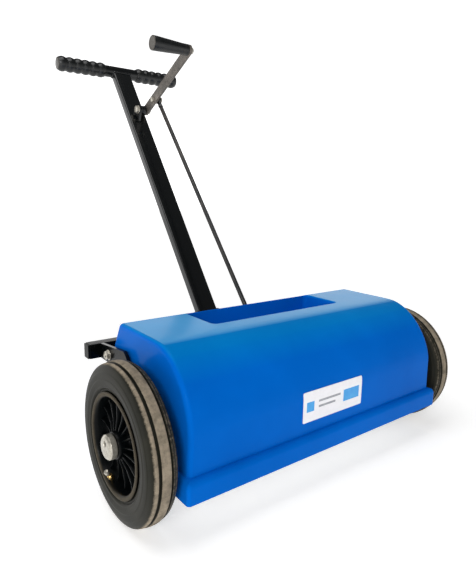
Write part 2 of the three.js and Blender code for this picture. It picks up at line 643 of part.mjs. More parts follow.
add('lever_bracket', leverBracket(), BLACK_PAINT);
add('pivot_bolt', pivotBolt(), ZINC);
add('pivot_sleeve', barX(8.5, 4 + GAP, LEVER_X - armHalf - GAP, pivotPoint.y, pivotPoint.z, 16,
  THICK_HOLE), BLACK_PAINT);
add('lever_arm', leverArm(), BLACK_PAINT);
add('lever_grip', leverGrip(), BLACK_RUBBER);
add('lever_grip_bolt', gripBolt(), ZINC);

// ---------------------------------------------------------------- lift rod
const along = { y: Math.cos(ROD_ANGLE), z: Math.sin(ROD_ANGLE) };
const rodLength = Math.hypot(upperPin.y - crankPin.y, upperPin.z - crankPin.z);

// Pieces on the rod are drawn upright, with the lower pin at 0, then leaned over.
const leanOver = (geometry) => geometry.rotateX(ROD_ANGLE - Math.PI / 2)
  .translate(ROD_X, crankPin.y, crankPin.z);

function rodEye() {
  const { radius, halfWidth: half, shank: thick } = ROD_EYE;
  const ring = addHole(new THREE.Shape(circle(0, rodLength, radius, 20)), 0, rodLength, THIN_HOLE);
  const shank = new THREE.CylinderGeometry(thick, thick, 16, 12).rotateX(Math.PI / 2)
    .translate(0, 0, rodLength - 17);
  const neck = box(-half, half, -thick, thick, rodLength - 24, rodLength - 7);
  return leanOver(fromSolid(join(plate(ring, -half, half, 8), neck, shank)));
}

function rodFork() {
  const { radius, gap, halfWidth: half, baseFrom, length } = ROD_FORK;
  const cheek = armShape({ y: 0, z: 0 }, radius, { y: 0, z: baseFrom }, half);
  addHole(cheek, 0, 0, THIN_HOLE);
  const base = box(-half, half, -half, half, baseFrom, length);
  return leanOver(fromSolid(join(plate(cheek, -half, -gap, 8), plate(cheek, gap, half, 8), base)));
}

function liftRod() {
  const start = ROD_FORK.length + GAP;
  const end = rodLength - ROD_EYE.length;
  return leanOver(new THREE.CylinderGeometry(ROD_RADIUS, ROD_RADIUS, end - start, 16)
    .rotateX(Math.PI / 2).translate(0, 0, (start + end) / 2));
}

add('lift_rod', liftRod(), BLACK_PAINT);
add('rod_eye', rodEye(), BLACK_PAINT);
add('rod_fork', rodFork(), ZINC);
add('rod_upper_bolt', throughBolt(upperPin, LEVER_X - armHalf - 5 - GAP, ROD_X + 11,
  BOLT.thin, 6.8), ZINC);
add('rod_lower_pin', throughBolt(crankPin, ROD_X - 14.3, ROD_X + 15.3, BOLT.thin, 6),
  ZINC);

// ---------------------------------------------------------------- lift shaft
function driveCrank() {
  const shape = armShape(shaft, 17, crankPin, 11.5);
  addHole(shape, shaft.y, shaft.z, SHAFT_HOLE, 16);
  addHole(shape, crankPin.y, crankPin.z, 6.8);
  return plate(shape, ROD_X - ARM_HALF_PLATE, ROD_X + ARM_HALF_PLATE, 8);
}

const liftPin = polar(shaft.y, shaft.z, LIFT_ARM.length, LIFT_ARM.restAngle);

function liftArm(side) {
  const shape = armShape(shaft, 16, liftPin, 9);
  addHole(shape, shaft.y, shaft.z, SHAFT_HOLE, 16);
  const arm = plate(
    shape, ...span(side, LIFT_ARM.x - ARM_HALF_PLATE, LIFT_ARM.x + ARM_HALF_PLATE), 8);
  const pin = barX(5, ...span(side, LIFT_ARM.x, LIFT_ARM.x + 16), liftPin.y, liftPin.z, 12);
  return fromSolid(join(arm, pin));
}

add('lift_shaft', barX(SHAFT_RADIUS, -288, 288, shaft.y, shaft.z, 20), ZINC);
add('drive_crank', driveCrank(), BLACK_PAINT);
for (const [label, side] of SIDES) {
  add(`lift_arm_${label}`, liftArm(side), BLACK_PAINT);
}

// ---------------------------------------------------------------- magnet carrier
function carrier() {
  const { halfLength, front, rear, top, plate: sheet, flange } = CARRIER;
  const parts = [
    box(-halfLength, halfLength, front, rear, top - sheet, top),
    box(-halfLength, halfLength, front, front + flange, 79, top - 1),
    box(-halfLength, halfLength, rear - flange, rear, 79, top - 1),
  ];
  const tools = [];
  for (const [, side] of SIDES) {
    parts.push(box(...span(side, 187, 193), rear - 6, 110, top - sheet, 134));
    parts.push(box(...span(side, halfLength - 1, END_PLATE_X - 3), GUIDE.y - 15, GUIDE.y + 15,
      top - sheet - 6, top));
    tools.push(box(...span(side, 180, 200), liftPin.y - 15, liftPin.y + 7, liftPin.z - 6,
      liftPin.z + 6));
    tools.push(new THREE.CylinderGeometry(GUIDE.radius + 0.5, GUIDE.radius + 0.5, 60, 16)
      .rotateX(Math.PI / 2).translate(side * GUIDE.x, GUIDE.y, top));
  }
  return fromSolid(cut(join(...parts), ...tools));
}

add('magnet_carrier', carrier(), BLACK_PAINT);
for (let i = 0; i < MAGNET.count; i++) {
  const middle = (i - (MAGNET.count - 1) / 2) * MAGNET.pitch;
  add(`magnet_${i + 1}`, box(middle - MAGNET.length / 2, middle + MAGNET.length / 2,
    CARRIER.front + CARRIER.flange + 0.5, CARRIER.rear - CARRIER.flange - 0.5,
    MAGNET.bottom, MAGNET.bottom + MAGNET.height), FERRITE);
}

// ---------------------------------------------------------------- origin
const frontEdge = -TYRE_RADIUS;
const rearEdge = T_BAR.y + GRIP.peak;
sweeper.position.y = -(frontEdge + rearEdge) / 2;
sweeper.updateMatrixWorld(true);

export default sweeper;
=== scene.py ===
"""Looks of a magnetic nail sweeper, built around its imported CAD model.

The script works in metres in the CAD frame: +Z up, -Y towards the front of the hood, +X to the
right seen from the front. Shape tables are in millimetres and MM turns them into metres.
"""

import math

import bmesh
import bpy
from mathutils import Matrix, Vector


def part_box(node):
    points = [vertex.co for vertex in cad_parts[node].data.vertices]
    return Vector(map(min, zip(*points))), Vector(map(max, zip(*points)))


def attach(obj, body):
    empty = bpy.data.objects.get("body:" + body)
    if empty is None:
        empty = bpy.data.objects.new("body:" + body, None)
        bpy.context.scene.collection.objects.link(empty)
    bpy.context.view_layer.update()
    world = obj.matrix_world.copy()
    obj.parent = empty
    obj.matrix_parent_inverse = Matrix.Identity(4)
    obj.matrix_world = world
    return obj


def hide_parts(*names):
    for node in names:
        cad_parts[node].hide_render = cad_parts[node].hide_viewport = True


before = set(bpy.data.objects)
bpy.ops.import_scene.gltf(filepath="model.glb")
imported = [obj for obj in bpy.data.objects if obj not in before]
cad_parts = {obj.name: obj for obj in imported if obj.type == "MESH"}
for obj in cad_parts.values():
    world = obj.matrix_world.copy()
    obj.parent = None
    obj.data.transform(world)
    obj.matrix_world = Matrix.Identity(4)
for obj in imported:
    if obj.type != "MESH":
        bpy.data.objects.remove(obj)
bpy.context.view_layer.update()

MM = 0.001
SIDES = (("left", -1), ("right", 1))


def centre_of(node):
    """Middle of a CAD node's box."""
    low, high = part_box(node)
    return (low + high) / 2


def axis_of(node):
    """Where the X axis of a CAD node's box passes the machine's middle plane."""
    return centre_of(node) * Vector((0, 1, 1))


def span_x(node):
    """Where a CAD node starts and ends along X, in millimetres."""
    low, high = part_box(node)
    return low.x / MM, high.x / MM


def radius_of(node):
    """Half a CAD node's height, in millimetres."""
    low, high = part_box(node)
    return (high.z - low.z) / 2 / MM


ORIGIN = Vector((0, 0, 0))
AXLE = axis_of("tyre_left")
T_BAR = axis_of("t_bar")
COLUMN_UP = (T_BAR - axis_of("handle_bolt_lower")).normalized()
ROD_TOP = axis_of("rod_upper_bolt")
ROD_FOOT = axis_of("rod_lower_pin")
ROD_X = centre_of("lift_rod").x


def at(x, y, z):
    """A point given in millimetres from the middle of the machine, the axle and the floor."""
    return Vector((x * MM, AXLE.y + y * MM, z * MM))


# ---------------- materials
class Graph:
    """A node tree with short ways to add the nodes that are used here."""

    def __init__(self, tree):
        self.tree = tree

    def node(self, kind, links=None, values=None, **settings):
        made = self.tree.nodes.new(kind)
        for setting, value in settings.items():
            setattr(made, setting, value)
        for socket, value in (values or {}).items():
            made.inputs[socket].default_value = value
        for socket, source in (links or {}).items():
            self.tree.links.new(source, made.inputs[socket])
        return made

    def remap(self, field, low, high, to_low=0.0, to_high=1.0, curve="LINEAR"):
        """The field stretched from low..high to to_low..to_high, and clamped there."""
        values = {"From Min": low, "From Max": high, "To Min": to_low, "To Max": to_high}
        made = self.node("ShaderNodeMapRange", {"Value": field}, values, interpolation_type=curve)
        return made.outputs["Result"]

    def math(self, operation, first, second):
        made = self.node("ShaderNodeMath", operation=operation)
        for socket, value in zip(made.inputs, (first, second)):
            if isinstance(value, (int, float)):
                socket.default_value = value
            else:
                self.tree.links.new(value, socket)
        return made.outputs[0]

    def mix(self, factor, first, second):
        """Colour first where factor is 0 and second where it is 1."""
        made = self.node("ShaderNodeMix", {"Factor": factor}, data_type="RGBA")
        for socket, value in ((made.inputs[6], first), (made.inputs[7], second)):
            if isinstance(value, tuple):
                socket.default_value = (*value, 1.0)
            else:
                self.tree.links.new(value, socket)
        return made.outputs[2]


class Finish(Graph):
    """A Principled material whose colour, roughness and bump come from procedural nodes."""

    def __init__(self, name, **sockets):
        self.material = bpy.data.materials.new(name)
        self.material.use_nodes = True
        super().__init__(self.material.node_tree)
        self.shader = self.tree.nodes["Principled BSDF"]
        for socket, value in sockets.items():
            self.shader.inputs[socket.replace("_", " ")].default_value = value
        coordinates = self.node("ShaderNodeTexCoord").outputs
        self.place = coordinates["Object"]
        self.facing = coordinates["Normal"]
        self.relief = None

    def noise(self, scale, detail=4.0, rough=0.55, stretch=(1, 1, 1)):
        """A noise field between 0 and 1; scale counts blotches per metre."""
        mapping = self.node("ShaderNodeMapping", {"Vector": self.place}, {"Scale": stretch})
        texture = self.node("ShaderNodeTexNoise", {"Vector": mapping.outputs[0]}, {
            "Scale": scale, "Detail": detail, "Roughness": rough})
        return texture.outputs["Fac"]

    def patches(self, scale, detail, low, high, to_low=0.0, to_high=1.0, rough=0.55):
        """Noise blotches with their contrast raised by a remap."""
        return self.remap(self.noise(scale, detail, rough), low, high, to_low, to_high)

    def upward(self, start, full, above):
        """How much what lies above a height looks up: its normal's Z from start to full."""
        slope = self.node("ShaderNodeSeparateXYZ", {0: self.facing}).outputs["Z"]
        height = self.node("ShaderNodeSeparateXYZ", {0: self.place}).outputs["Z"]
        return self.math("MULTIPLY", self.remap(slope, start, full),
                         self.remap(height, above, above + 0.03))

    def painted(self, name):
        """A value stored on the mesh's points."""
        return self.node("ShaderNodeAttribute", attribute_name=name).outputs["Fac"]

    def set(self, socket, source):
        self.tree.links.new(source, self.shader.inputs[socket])

    def colour(self, factor, first, second):
        self.set("Base Color", self.mix(factor, first, second))

    def roughness(self, scale, detail, smooth, rough, low=0.3, high=0.7):
        """Roughness that wanders from smooth to rough where the noise goes from low to high."""
        self.set("Roughness", self.patches(scale, detail, low, high, smooth, rough))

    def bump(self, field, height, strength=1.0):
        """Adds a relief of the field, height metres from its lowest to its highest value."""
        links = {"Height": field}
        if self.relief is not None:
            links["Normal"] = self.relief
        made = self.node("ShaderNodeBump", links, {"Strength": strength, "Distance": height})
        self.relief = made.outputs["Normal"]
        self.set("Normal", self.relief)


def hood_blue():
    """Glossy moulded plastic with slight colour drift and light scuffs; painted light turns the
    upward-facing shoulder a lighter blue and a painted sheen turns the top pale.
    """
    finish = Finish("hood_blue", IOR=1.5, Specular_IOR_Level=0.03,
                    Specular_Tint=(0.2, 0.75, 1.0, 1.0))
    drift = finish.patches(7, 3, 0.3, 0.7)
    fresh = finish.mix(drift, (0.0003, 0.118, 0.54), (0.0005, 0.138, 0.61))
    # painted light: a lighter blue for the shoulder where its surface turns upward
    lit = finish.mix(drift, (0.0005, 0.19, 0.56), (0.0010, 0.22, 0.62))
    # painted sheen: a pale blue for the flat top that stands for its reflection of the bright
    # backdrop
    faded_colour_and_painted_sheen = finish.mix(drift, (0.08, 0.35, 0.71), (0.09, 0.39, 0.77))
    shoulder = finish.mix(finish.upward(0.6, 0.93, 0.17), fresh, lit)
    # the top's painted sheen laid over the shoulder's painted light
    finish.colour(finish.upward(0.975, 1.0, 0.17), shoulder, faded_colour_and_painted_sheen)
    scuff = finish.remap(finish.noise(60, 8, 0.7, (1, 1, 4)), 0.52, 0.74)
    smear = finish.patches(14, 4, 0.35, 0.75, 0.15, 0.22)
    finish.set("Roughness", finish.math("ADD", smear, finish.math("MULTIPLY", scuff, 0.08)))
    finish.bump(finish.noise(14, 2), 0.0005, 0.4)
    finish.bump(finish.noise(700, 2), 0.00002, 0.3)
    return finish.material


def powder_black(name, gloss):
    """Black powder coat: a fine orange peel, with patches of dust."""
    finish = Finish(name, IOR=1.5, Specular_IOR_Level=gloss)
    dust = finish.patches(24, 6, 0.58, 0.85, 0.0, 0.25, rough=0.65)
    finish.colour(dust, (0.0018, 0.0026, 0.003), (0.018, 0.017, 0.016))
    finish.roughness(40, 5, 0.14, 0.24, high=0.75)
    finish.bump(finish.noise(1400, 2), 0.00002, 0.4)
    return finish.material


def worn_steel():
    """Flat lever bar: black finish rubbed to brown-grey metal along its faces."""
    finish = Finish("worn_steel", IOR=1.5, Metallic=0.35)
    rub = finish.patches(26, 7, 0.35, 0.7, rough=0.7)
    finish.colour(rub, (0.07, 0.064, 0.057), (0.19, 0.165, 0.14))
    finish.roughness(70, 5, 0.32, 0.5)
    finish.bump(finish.noise(900, 3, 0.6), 0.00006, 0.5)
    return finish.material


def rod_steel():
    """Thin lift rod: dark drawn bar with brown-grey handling marks."""
    finish = Finish("rod_steel", IOR=1.5, Metallic=0.3)
    rub = finish.patches(13, 5, 0.42, 0.7, rough=0.6)
    finish.colour(rub, (0.014, 0.016, 0.017), (0.07, 0.062, 0.055))
    finish.roughness(60, 4, 0.34, 0.5)
    finish.bump(finish.noise(1100, 3), 0.00005, 0.5)
    return finish.material


def moulded_black():
    """Black wheel plastic, with dust where the mesh says so."""
    finish = Finish("moulded_black", IOR=1.5, Specular_IOR_Level=0.1)
    spread = finish.patches(70, 7, 0.3, 0.75, 0.35, 1.0, rough=0.7)
    dust = finish.math("MULTIPLY", finish.painted("dust"), spread)
    finish.colour(dust, (0.0016, 0.0024, 0.0028), (0.11, 0.09, 0.06))
    finish.set("Roughness", finish.remap(dust, 0.0, 0.8, 0.28, 0.75))
    finish.bump(finish.noise(700, 4), 0.00008, 0.5)
    return finish.material


def tyre_rubber():
    """Grey-olive rubber; dry dust lies on the ribs and frays out at their edges."""
    finish = Finish("tyre_rubber", IOR=1.48, Specular_IOR_Level=0.2,
                    Specular_Tint=(1.0, 0.93, 0.75, 1.0))
    fray = finish.noise(230, 6, 0.7, (0.45, 1, 1))
    spread = finish.math("ADD", finish.painted("dust"), finish.math("SUBTRACT", fray, 0.5))
    blotch = finish.patches(55, 8, 0.32, 0.62, 0.35, 1.0, rough=0.72)
    dust = finish.math("MULTIPLY", finish.remap(spread, 0.38, 0.85), blotch)
    film = finish.patches(16, 5, 0.35, 0.75, rough=0.65)
    rubber = finish.mix(film, (0.0055, 0.0065, 0.0052), (0.017, 0.0165, 0.0115))
    finish.colour(dust, rubber, (0.33, 0.275, 0.205))
    finish.set("Roughness", finish.remap(dust, 0.0, 0.7, 0.5, 0.9))
    finish.bump(finish.noise(1300, 3), 0.00012, 0.6)
    finish.bump(fray, 0.0003, 0.25)
    return finish.material


def grip_rubber():
    """Black hand-grip rubber with a soft sheen and a trace of dust on its worn places."""
    finish = Finish("grip_rubber", IOR=1.5, Specular_IOR_Level=0.5)
    worn = finish.patches(45, 6, 0.55, 0.85, 0.0, 0.3, rough=0.65)
    worn = finish.math("MAXIMUM", worn, finish.painted("dust"))
    finish.colour(worn, (0.0025, 0.0034, 0.0038), (0.07, 0.06, 0.046))
    finish.roughness(80, 4, 0.24, 0.4)
    finish.bump(finish.noise(1500, 3), 0.00005, 0.4)
    return finish.material


def zinc_plate():
    """Bright zinc plating, slightly cream, with turning marks and dull spots."""
    finish = Finish("zinc_plate", Metallic=0.65)
    dull = finish.patches(160, 6, 0.42, 0.72, rough=0.65)
    finish.colour(dull, (0.54, 0.51, 0.44), (0.36, 0.335, 0.28))
    finish.roughness(300, 5, 0.24, 0.42)
    finish.bump(finish.noise(2400, 2, 0.5, (6, 1, 1)), 0.00002, 0.4)
    return finish.material


def stainless_sheet():
    """Stainless sheet brushed along the tray."""
    finish = Finish("stainless_sheet", Metallic=1.0)
    brushed = finish.noise(500, 5, 0.7, (0.04, 1, 1))
    finish.colour(brushed, (0.52, 0.53, 0.54), (0.66, 0.665, 0.67))
    finish.set("Roughness", finish.remap(brushed, 0.3, 0.7, 0.24, 0.4))
    finish.bump(brushed, 0.00003, 0.4)
    return finish.material


def turned_brass():
    """Turned brass with a dull oxide film in patches."""
    finish = Finish("turned_brass", Metallic=1.0)
    film = finish.patches(190, 6, 0.4, 0.7, rough=0.65)
    finish.colour(film, (0.72, 0.50, 0.20), (0.40, 0.27, 0.11))
    finish.roughness(260, 4, 0.26, 0.46)
    return finish.material


def ferrite():
    """Sintered ferrite block: dark grey, grainy, with a few pits."""
    finish = Finish("ferrite", Metallic=0.15)
    grain = finish.noise(420, 6, 0.7)
    finish.colour(grain, (0.028, 0.028, 0.030), (0.075, 0.074, 0.075))
    finish.set("Roughness", finish.remap(grain, 0.3, 0.7, 0.5, 0.72))
    finish.bump(grain, 0.0001, 0.6)
    return finish.material


def print_ink(name, colour, faded_colour_and_painted_sheen):
    """Printed vinyl: one ink that has lost colour in patches under a thin clear coat."""
    finish = Finish(name, IOR=1.46, Coat_Weight=0.3, Coat_Roughness=0.15)
    fade = finish.patches(120, 5, 0.35, 0.75, rough=0.6)
    finish.colour(fade, colour, faded_colour_and_painted_sheen)
    finish.roughness(90, 3, 0.3, 0.42)
    finish.bump(finish.noise(600, 2), 0.00002, 0.3)
    return finish.material


BLUE = hood_blue()
BLACK = powder_black("powder_black", 0.5)
MATT_BLACK = powder_black("powder_matt", 0.12)
LEVER_STEEL = worn_steel()
ROD_STEEL = rod_steel()
PLASTIC = moulded_black()
TYRE = tyre_rubber()
GRIP = grip_rubber()
ZINC = zinc_plate()
STAINLESS = stainless_sheet()
BRASS = turned_brass()
FERRITE = ferrite()
LABEL_WHITE = print_ink("label_white", (0.95, 0.94, 0.97), (0.90, 0.89, 0.91))
LABEL_GREY = print_ink("label_grey", (0.30, 0.31, 0.34), (0.42, 0.43, 0.45))
LABEL_BLUE = print_ink("label_blue", (0.02, 0.33, 0.80), (0.05, 0.42, 0.85))


# ---------------- outlines
def fillet(points, radius, steps=4, closed=True):
    """The outline with each corner rounded; a third number in a point is its own radius."""
    rounded = []
    for i, point in enumerate(points):
        corner = Vector(point[:2])
        if not closed and i in (0, len(points) - 1):
            rounded.append(corner)
            continue
        back = Vector(points[i - 1][:2]) - corner
        ahead = Vector(points[(i + 1) % len(points)][:2]) - corner
        half = back.angle(ahead) / 2
        wanted = point[2] if len(point) > 2 else radius
        if wanted <= 0 or half > math.radians(88):
            rounded.append(corner)
            continue
        reach = min(wanted / math.tan(half), back.length * 0.49, ahead.length * 0.49)
        inward = (back.normalized() + ahead.normalized()).normalized()
        middle = corner + inward * reach / math.cos(half)
        start = corner + back.normalized() * reach - middle
        end = corner + ahead.normalized() * reach - middle
        sweep = start.angle_signed(end)
        for step in range(steps + 1):
            arm = start.copy()
            arm.rotate(Matrix.Rotation(-sweep * step / steps, 2))
            rounded.append(middle + arm)
    return rounded


def shifted(points, distance):
    """An open outline moved sideways by distance, to the right of its direction."""
    moved = []
    for i, point in enumerate(points):
        sides = []
        for first, second in ((i - 1, i), (i, i + 1)):
            if first >= 0 and second < len(points):
                run = (Vector(points[second]) - Vector(points[first])).normalized()
                sides.append(Vector((run.y, -run.x)))
        normal = sum(sides, Vector((0, 0))).normalized()
        stretch = 1 / max(normal.dot(sides[0]), 0.5)
        moved.append(Vector(point) + normal * distance * stretch)
    return moved


def arc(steps, angle=math.pi / 2):
    """(cosine, sine) at even steps of a turn from 0 to the angle."""
    turns = [angle * step / steps for step in range(steps + 1)]
    return [(math.cos(turn), math.sin(turn)) for turn in turns]


def rounded_rectangle(x0, x1, y0, y1, radius, steps=6):
    return fillet([(x0, y0), (x1, y0), (x1, y1), (x0, y1)], radius, steps)


# ---------------- meshes
def mesh_from(name, points, faces, dust=None):
    """A mesh with its faces pointing out, and a dust value on each point where given."""
    mesh = bpy.data.meshes.new(name)
    mesh.from_pydata([tuple(p) for p in points], [], faces)
    if dust is not None:
        mesh.attributes.new("dust", "FLOAT", "POINT").data.foreach_set("value", dust)
    return repaired(mesh)


def repaired(mesh, distance=None):
    """Turns the faces outwards, after merging points that are within distance of each other."""
    shape = bmesh.new()
    shape.from_mesh(mesh)
    if distance:
        bmesh.ops.remove_doubles(shape, verts=shape.verts, dist=distance)
        bmesh.ops.dissolve_degenerate(shape, dist=distance, edges=shape.edges)
    bmesh.ops.recalc_face_normals(shape, faces=shape.faces)
    shape.to_mesh(mesh)
    shape.free()
    return mesh


def loft(name, rings, closed=False, dust=None):
    """A skin over rings of points with equal counts, with flat ends unless it closes on itself."""
    count = len(rings[0])
    points = [point for ring in rings for point in ring]
    faces = []
    steps = len(rings) if closed else len(rings) - 1
    for i in range(steps):
        a, b = i * count, (i + 1) % len(rings) * count
        for k in range(count):
            n = (k + 1) % count
            faces.append((a + k, a + n, b + n, b + k))
    if not closed:
        faces.append(tuple(range(count)))
        faces.append(tuple(range(len(points) - count, len(points))))
    spread = None if dust is None else [value for value in dust for _ in range(count)]
    return mesh_from(name, points, faces, spread)


def around(centre, offset, radius, turn):
    """The point offset along X from the centre and radius out from there, both millimetres."""
    return centre + Vector((offset, radius * math.cos(turn), radius * math.sin(turn))) * MM


def lathe(name, profile, centre, segments=96, side=1, dust=None):
    """A body turned about a line along X, from (radius, offset) pairs in millimetres.

    A profile that starts and ends on the axis gets pointed ends, any other one closes on itself.
    """
    solid = profile[0][0] == 0
    rings = []
    for radius, offset in profile[1:-1] if solid else profile:
        rings.append([around(centre, side * offset, radius, math.tau * k / segments)
                      for k in range(segments)])
    if solid:
        first, last = (around(centre, side * offset, 0, 0) for _, offset in (profile[0], profile[-1]))
        rings = [[first] * segments, *rings, [last] * segments]
        if dust is not None:
            dust = [dust[1], *dust[1:-1], dust[-2]]
    mesh = loft(name, rings, closed=not solid, dust=dust)
    return repaired(mesh, 1e-6) if solid else mesh


def round_bar(radius, start, end, centre, side=1, segments=32):
    """A plain closed cylinder along X."""
    profile = [(0, start), (radius, start), (radius, end), (0, end)]
    return lathe("bar", profile, centre, segments, side)


def along(mesh, start, direction):
    """Turns a mesh built along +X from the origin to run from start in the given direction."""
    turn = Vector((1, 0, 0)).rotation_difference(direction)
    mesh.transform(Matrix.Translation(start) @ turn.to_matrix().to_4x4())
    return mesh


def placed(name, data):
    """A new object of the scene that shows the mesh, lamp or camera."""
    obj = bpy.data.objects.new(name, data)
    bpy.context.scene.collection.objects.link(obj)
    return obj


def joined(name, *meshes):
    """One mesh holding several closed shells."""
    shape = bmesh.new()
    for mesh in meshes:
        shape.from_mesh(mesh)
    made = bpy.data.meshes.new(name)
    shape.to_mesh(made)
    shape.free()
    return made


def combine(base, operation, *tools):
    """The base mesh after a boolean with each tool in turn."""
    for tool in tools:
        pair = [placed("work", mesh) for mesh in (base, tool)]
        modifier = pair[0].modifiers.new("boolean", "BOOLEAN")
        modifier.operation = operation
        modifier.solver = "EXACT"
        modifier.object = pair[1]
        graph = bpy.context.evaluated_depsgraph_get()
        base = bpy.data.meshes.new_from_object(pair[0].evaluated_get(graph))
        for obj in pair:
            bpy.data.objects.remove(obj)
    return base


def piece(name, mesh, material, body, replaced=(), crease=40, weighted=False):
    """Puts a finished mesh into the scene as a smooth-shaded piece riding on a body."""
    mesh.name = name
    mesh.materials.clear()
    mesh.materials.append(material)
    mesh.shade_smooth()
    mesh.set_sharp_from_angle(angle=math.radians(crease))
    obj = placed(name, mesh)
    if weighted:
        modifier = obj.modifiers.new("even_shading", "WEIGHTED_NORMAL")
        modifier.keep_sharp = True
    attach(obj, body)
    if replaced:
        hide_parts(*replaced)


# ---------------- hood
HOOD_LOW, HOOD_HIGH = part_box("hood")
SKIRT_OUT = 12.0                 # skirt beyond the upper body's front and rear
SKIRT_TOP = 105.5
SKIRT_ROUND = 10.5               # rounding of the skirt's top edge
SKIRT_CORNER = 6.0
SKIRT_HALF = HOOD_HIGH.x / MM
HALF_WIDTH = 294.0               # upper body at its top
END_DRAFT = 6.5                  # how much further out each end stands at the foot
FRONT = (HOOD_LOW.y - AXLE.y) / MM + SKIRT_OUT
REAR = (HOOD_HIGH.y - AXLE.y) / MM - SKIRT_OUT
TOP = HOOD_HIGH.z / MM
FOOT = HOOD_LOW.z / MM
WALL = 3.5
END_ROUND = 8.0                  # rounding between the ends and the body's curved front
SHOULDER = {"y": -15.0, "z": 168.0, "power": 1.7}
RECESS = {"x": 158.0, "front": 29.0, "rear": 123.0, "floor": 226.0, "corner": 9.0}
ROD_SLOT = {"half": 13.0, "front": 128.0, "rear": 190.0, "bottom": 198.0, "top": 243.0, "corner": 5}
HOOD_HOLES = (("axle", 12.0), ("hood_bolt", 4.6))    # (node on each side, radius)
HOLE_SPAN = (280, 310)           # of a hole's cutter, wider than the end wall


def hood_outline(foot):
    """(y, z) from the rear foot, up the leaning rear wall, over the top and down the front."""
    lean_from, rear_top, flat_from = 174.9, 124.1, 60
    rear = fillet([(REAR, foot), (REAR, lean_from, 22), (rear_top, TOP, 9), (flat_from, TOP)],
                  0, 8, closed=False)
    depth = SHOULDER["y"] - FRONT
    height = TOP - SHOULDER["z"]
    power = 2 / SHOULDER["power"]
    front = [Vector((SHOULDER["y"] - depth * cosine ** power,
                     SHOULDER["z"] + height * sine ** power))
             for cosine, sine in arc(44)[::-1]]
    flat = [Vector((y, TOP)) for y in range(25, -15, -5)]
    eased_points = 14
    crown = softened(flat + front[:eased_points], 24)
    return rear[:-1] + crown + front[eased_points:] + [Vector((FRONT, foot))]


def softened(points, passes):
    """The points with every one between the two ends pulled to its neighbours' middle."""
    for _ in range(passes):
        middles = [(a + 2 * b + c) / 4 for a, b, c in zip(points, points[1:], points[2:])]
        points = [points[0], *middles, points[-1]]
    return points


def front_wall_y(z):
    """Where the hood's front surface is at height z, in millimetres from the axle."""
    if z <= SHOULDER["z"]:
        return FRONT
    share = (z - SHOULDER["z"]) / (TOP - SHOULDER["z"])
    depth = SHOULDER["y"] - FRONT
    return SHOULDER["y"] - depth * (1 - share ** SHOULDER["power"]) ** (1 / SHOULDER["power"])


def body_block(inset, foot, rounding):
    """The upper body as a closed block, its two ends rounded into the profile."""
    half = HALF_WIDTH - inset
    outline = shifted(hood_outline(foot), -inset)
    sections = [(half - rounding + rounding * sine, rounding * (1 - cosine))
                for cosine, sine in arc(8)[::-1]]
    rings = []
    for x, drop in [(-x, d) for x, d in sections] + sections[::-1]:
        rings.append([at(x * end_lean(z), y, z) for y, z in shifted(outline, -drop)])
    return loft("body_block", rings)


def end_lean(z):
    """How much wider than its top the upper body is at height z."""
    return 1 + END_DRAFT / HALF_WIDTH * (TOP - z) / (TOP - FOOT)


def level_loft(name, levels, half_x, front, rear, corner):
    """Stacked rounded rectangles, each (outset, z), as a closed block."""
    rings = []
    for outset, z in levels:
        reach = half_x + outset
        outline = rounded_rectangle(-reach, reach, front - outset, rear + outset,
                                    max(corner + outset, 0.5), 8)
        rings.append([at(x, y, z) for x, y in outline])
    return loft(name, rings)


def skirt_block(inset, bottom, top, rounding):
    """The lower band, wider than the body and rounded over at its top."""
    tuck = 4.0
    levels = [(SKIRT_OUT - inset, bottom)]
    for cosine, sine in arc(6):
        levels.append((SKIRT_OUT - inset - rounding * (1 - cosine), top - rounding * (1 - sine)))
    levels.append((-tuck - inset, top))
    return level_loft("skirt_block", levels, SKIRT_HALF - SKIRT_OUT, FRONT, REAR,
                      SKIRT_CORNER - SKIRT_OUT)


def recess_block(growth):
    """What is taken out of the top: round at its floor and flared at its rim."""
    floor_round, rim_round, flare = 9.0, 4.0, 5.4
    levels = [(growth - floor_round * (1 - sine),
               RECESS["floor"] - growth + floor_round * (1 - cosine))
              for cosine, sine in arc(6)]
    levels += [(growth + rim_round * (1 - cosine), TOP - rim_round * (1 - sine))
               for cosine, sine in arc(7, math.radians(80))]
    levels += [(growth + rim_round + flare, TOP + rise) for rise in (1, 6)]
    return level_loft("recess_block", levels, RECESS["x"], RECESS["front"], RECESS["rear"],
                      RECESS["corner"])


def rod_passage():
    """What is taken out of the rear wall for the lift rod."""
    middle, half = ROD_X / MM, ROD_SLOT["half"]
    outline = rounded_rectangle(middle - half, middle + half, ROD_SLOT["bottom"], ROD_SLOT["top"],
                                ROD_SLOT["corner"], 5)
    ends = (ROD_SLOT["front"], ROD_SLOT["rear"])
    return loft("passage", [[at(x, y, z) for x, z in outline] for y in ends])


def hood():
    """The shell: outside less inside, less the recess, the rod's slot and the side holes."""
    outside = combine(body_block(0, FOOT, END_ROUND), "UNION",
                      skirt_block(0, FOOT, SKIRT_TOP, SKIRT_ROUND))
    below = FOOT - 10
    inside = combine(body_block(WALL, below, END_ROUND - WALL), "UNION",
                     skirt_block(WALL, below, SKIRT_TOP - WALL, SKIRT_ROUND - WALL))
    inside = combine(inside, "DIFFERENCE", recess_block(WALL))
    tools = [recess_block(0), rod_passage()]
    for label, side in SIDES:
        for node, radius in HOOD_HOLES:
            tools.append(round_bar(radius, *HOLE_SPAN, axis_of(f"{node}_{label}"), side))
    shell = combine(combine(outside, "DIFFERENCE", inside), "DIFFERENCE", *tools)
    return repaired(shell, 2e-5)


piece("hood_shell", hood(), BLUE, "chassis", ["hood"], 32, weighted=True)


LABEL_ART = (                    # (left, right, bottom, top, ink), from the label's lower middle
    (-67, -49, 18, 36, 2), (-38, 17, 31, 35, 1), (-38, 4, 21, 25, 1), (25, 67, 16, 38, 2),
)


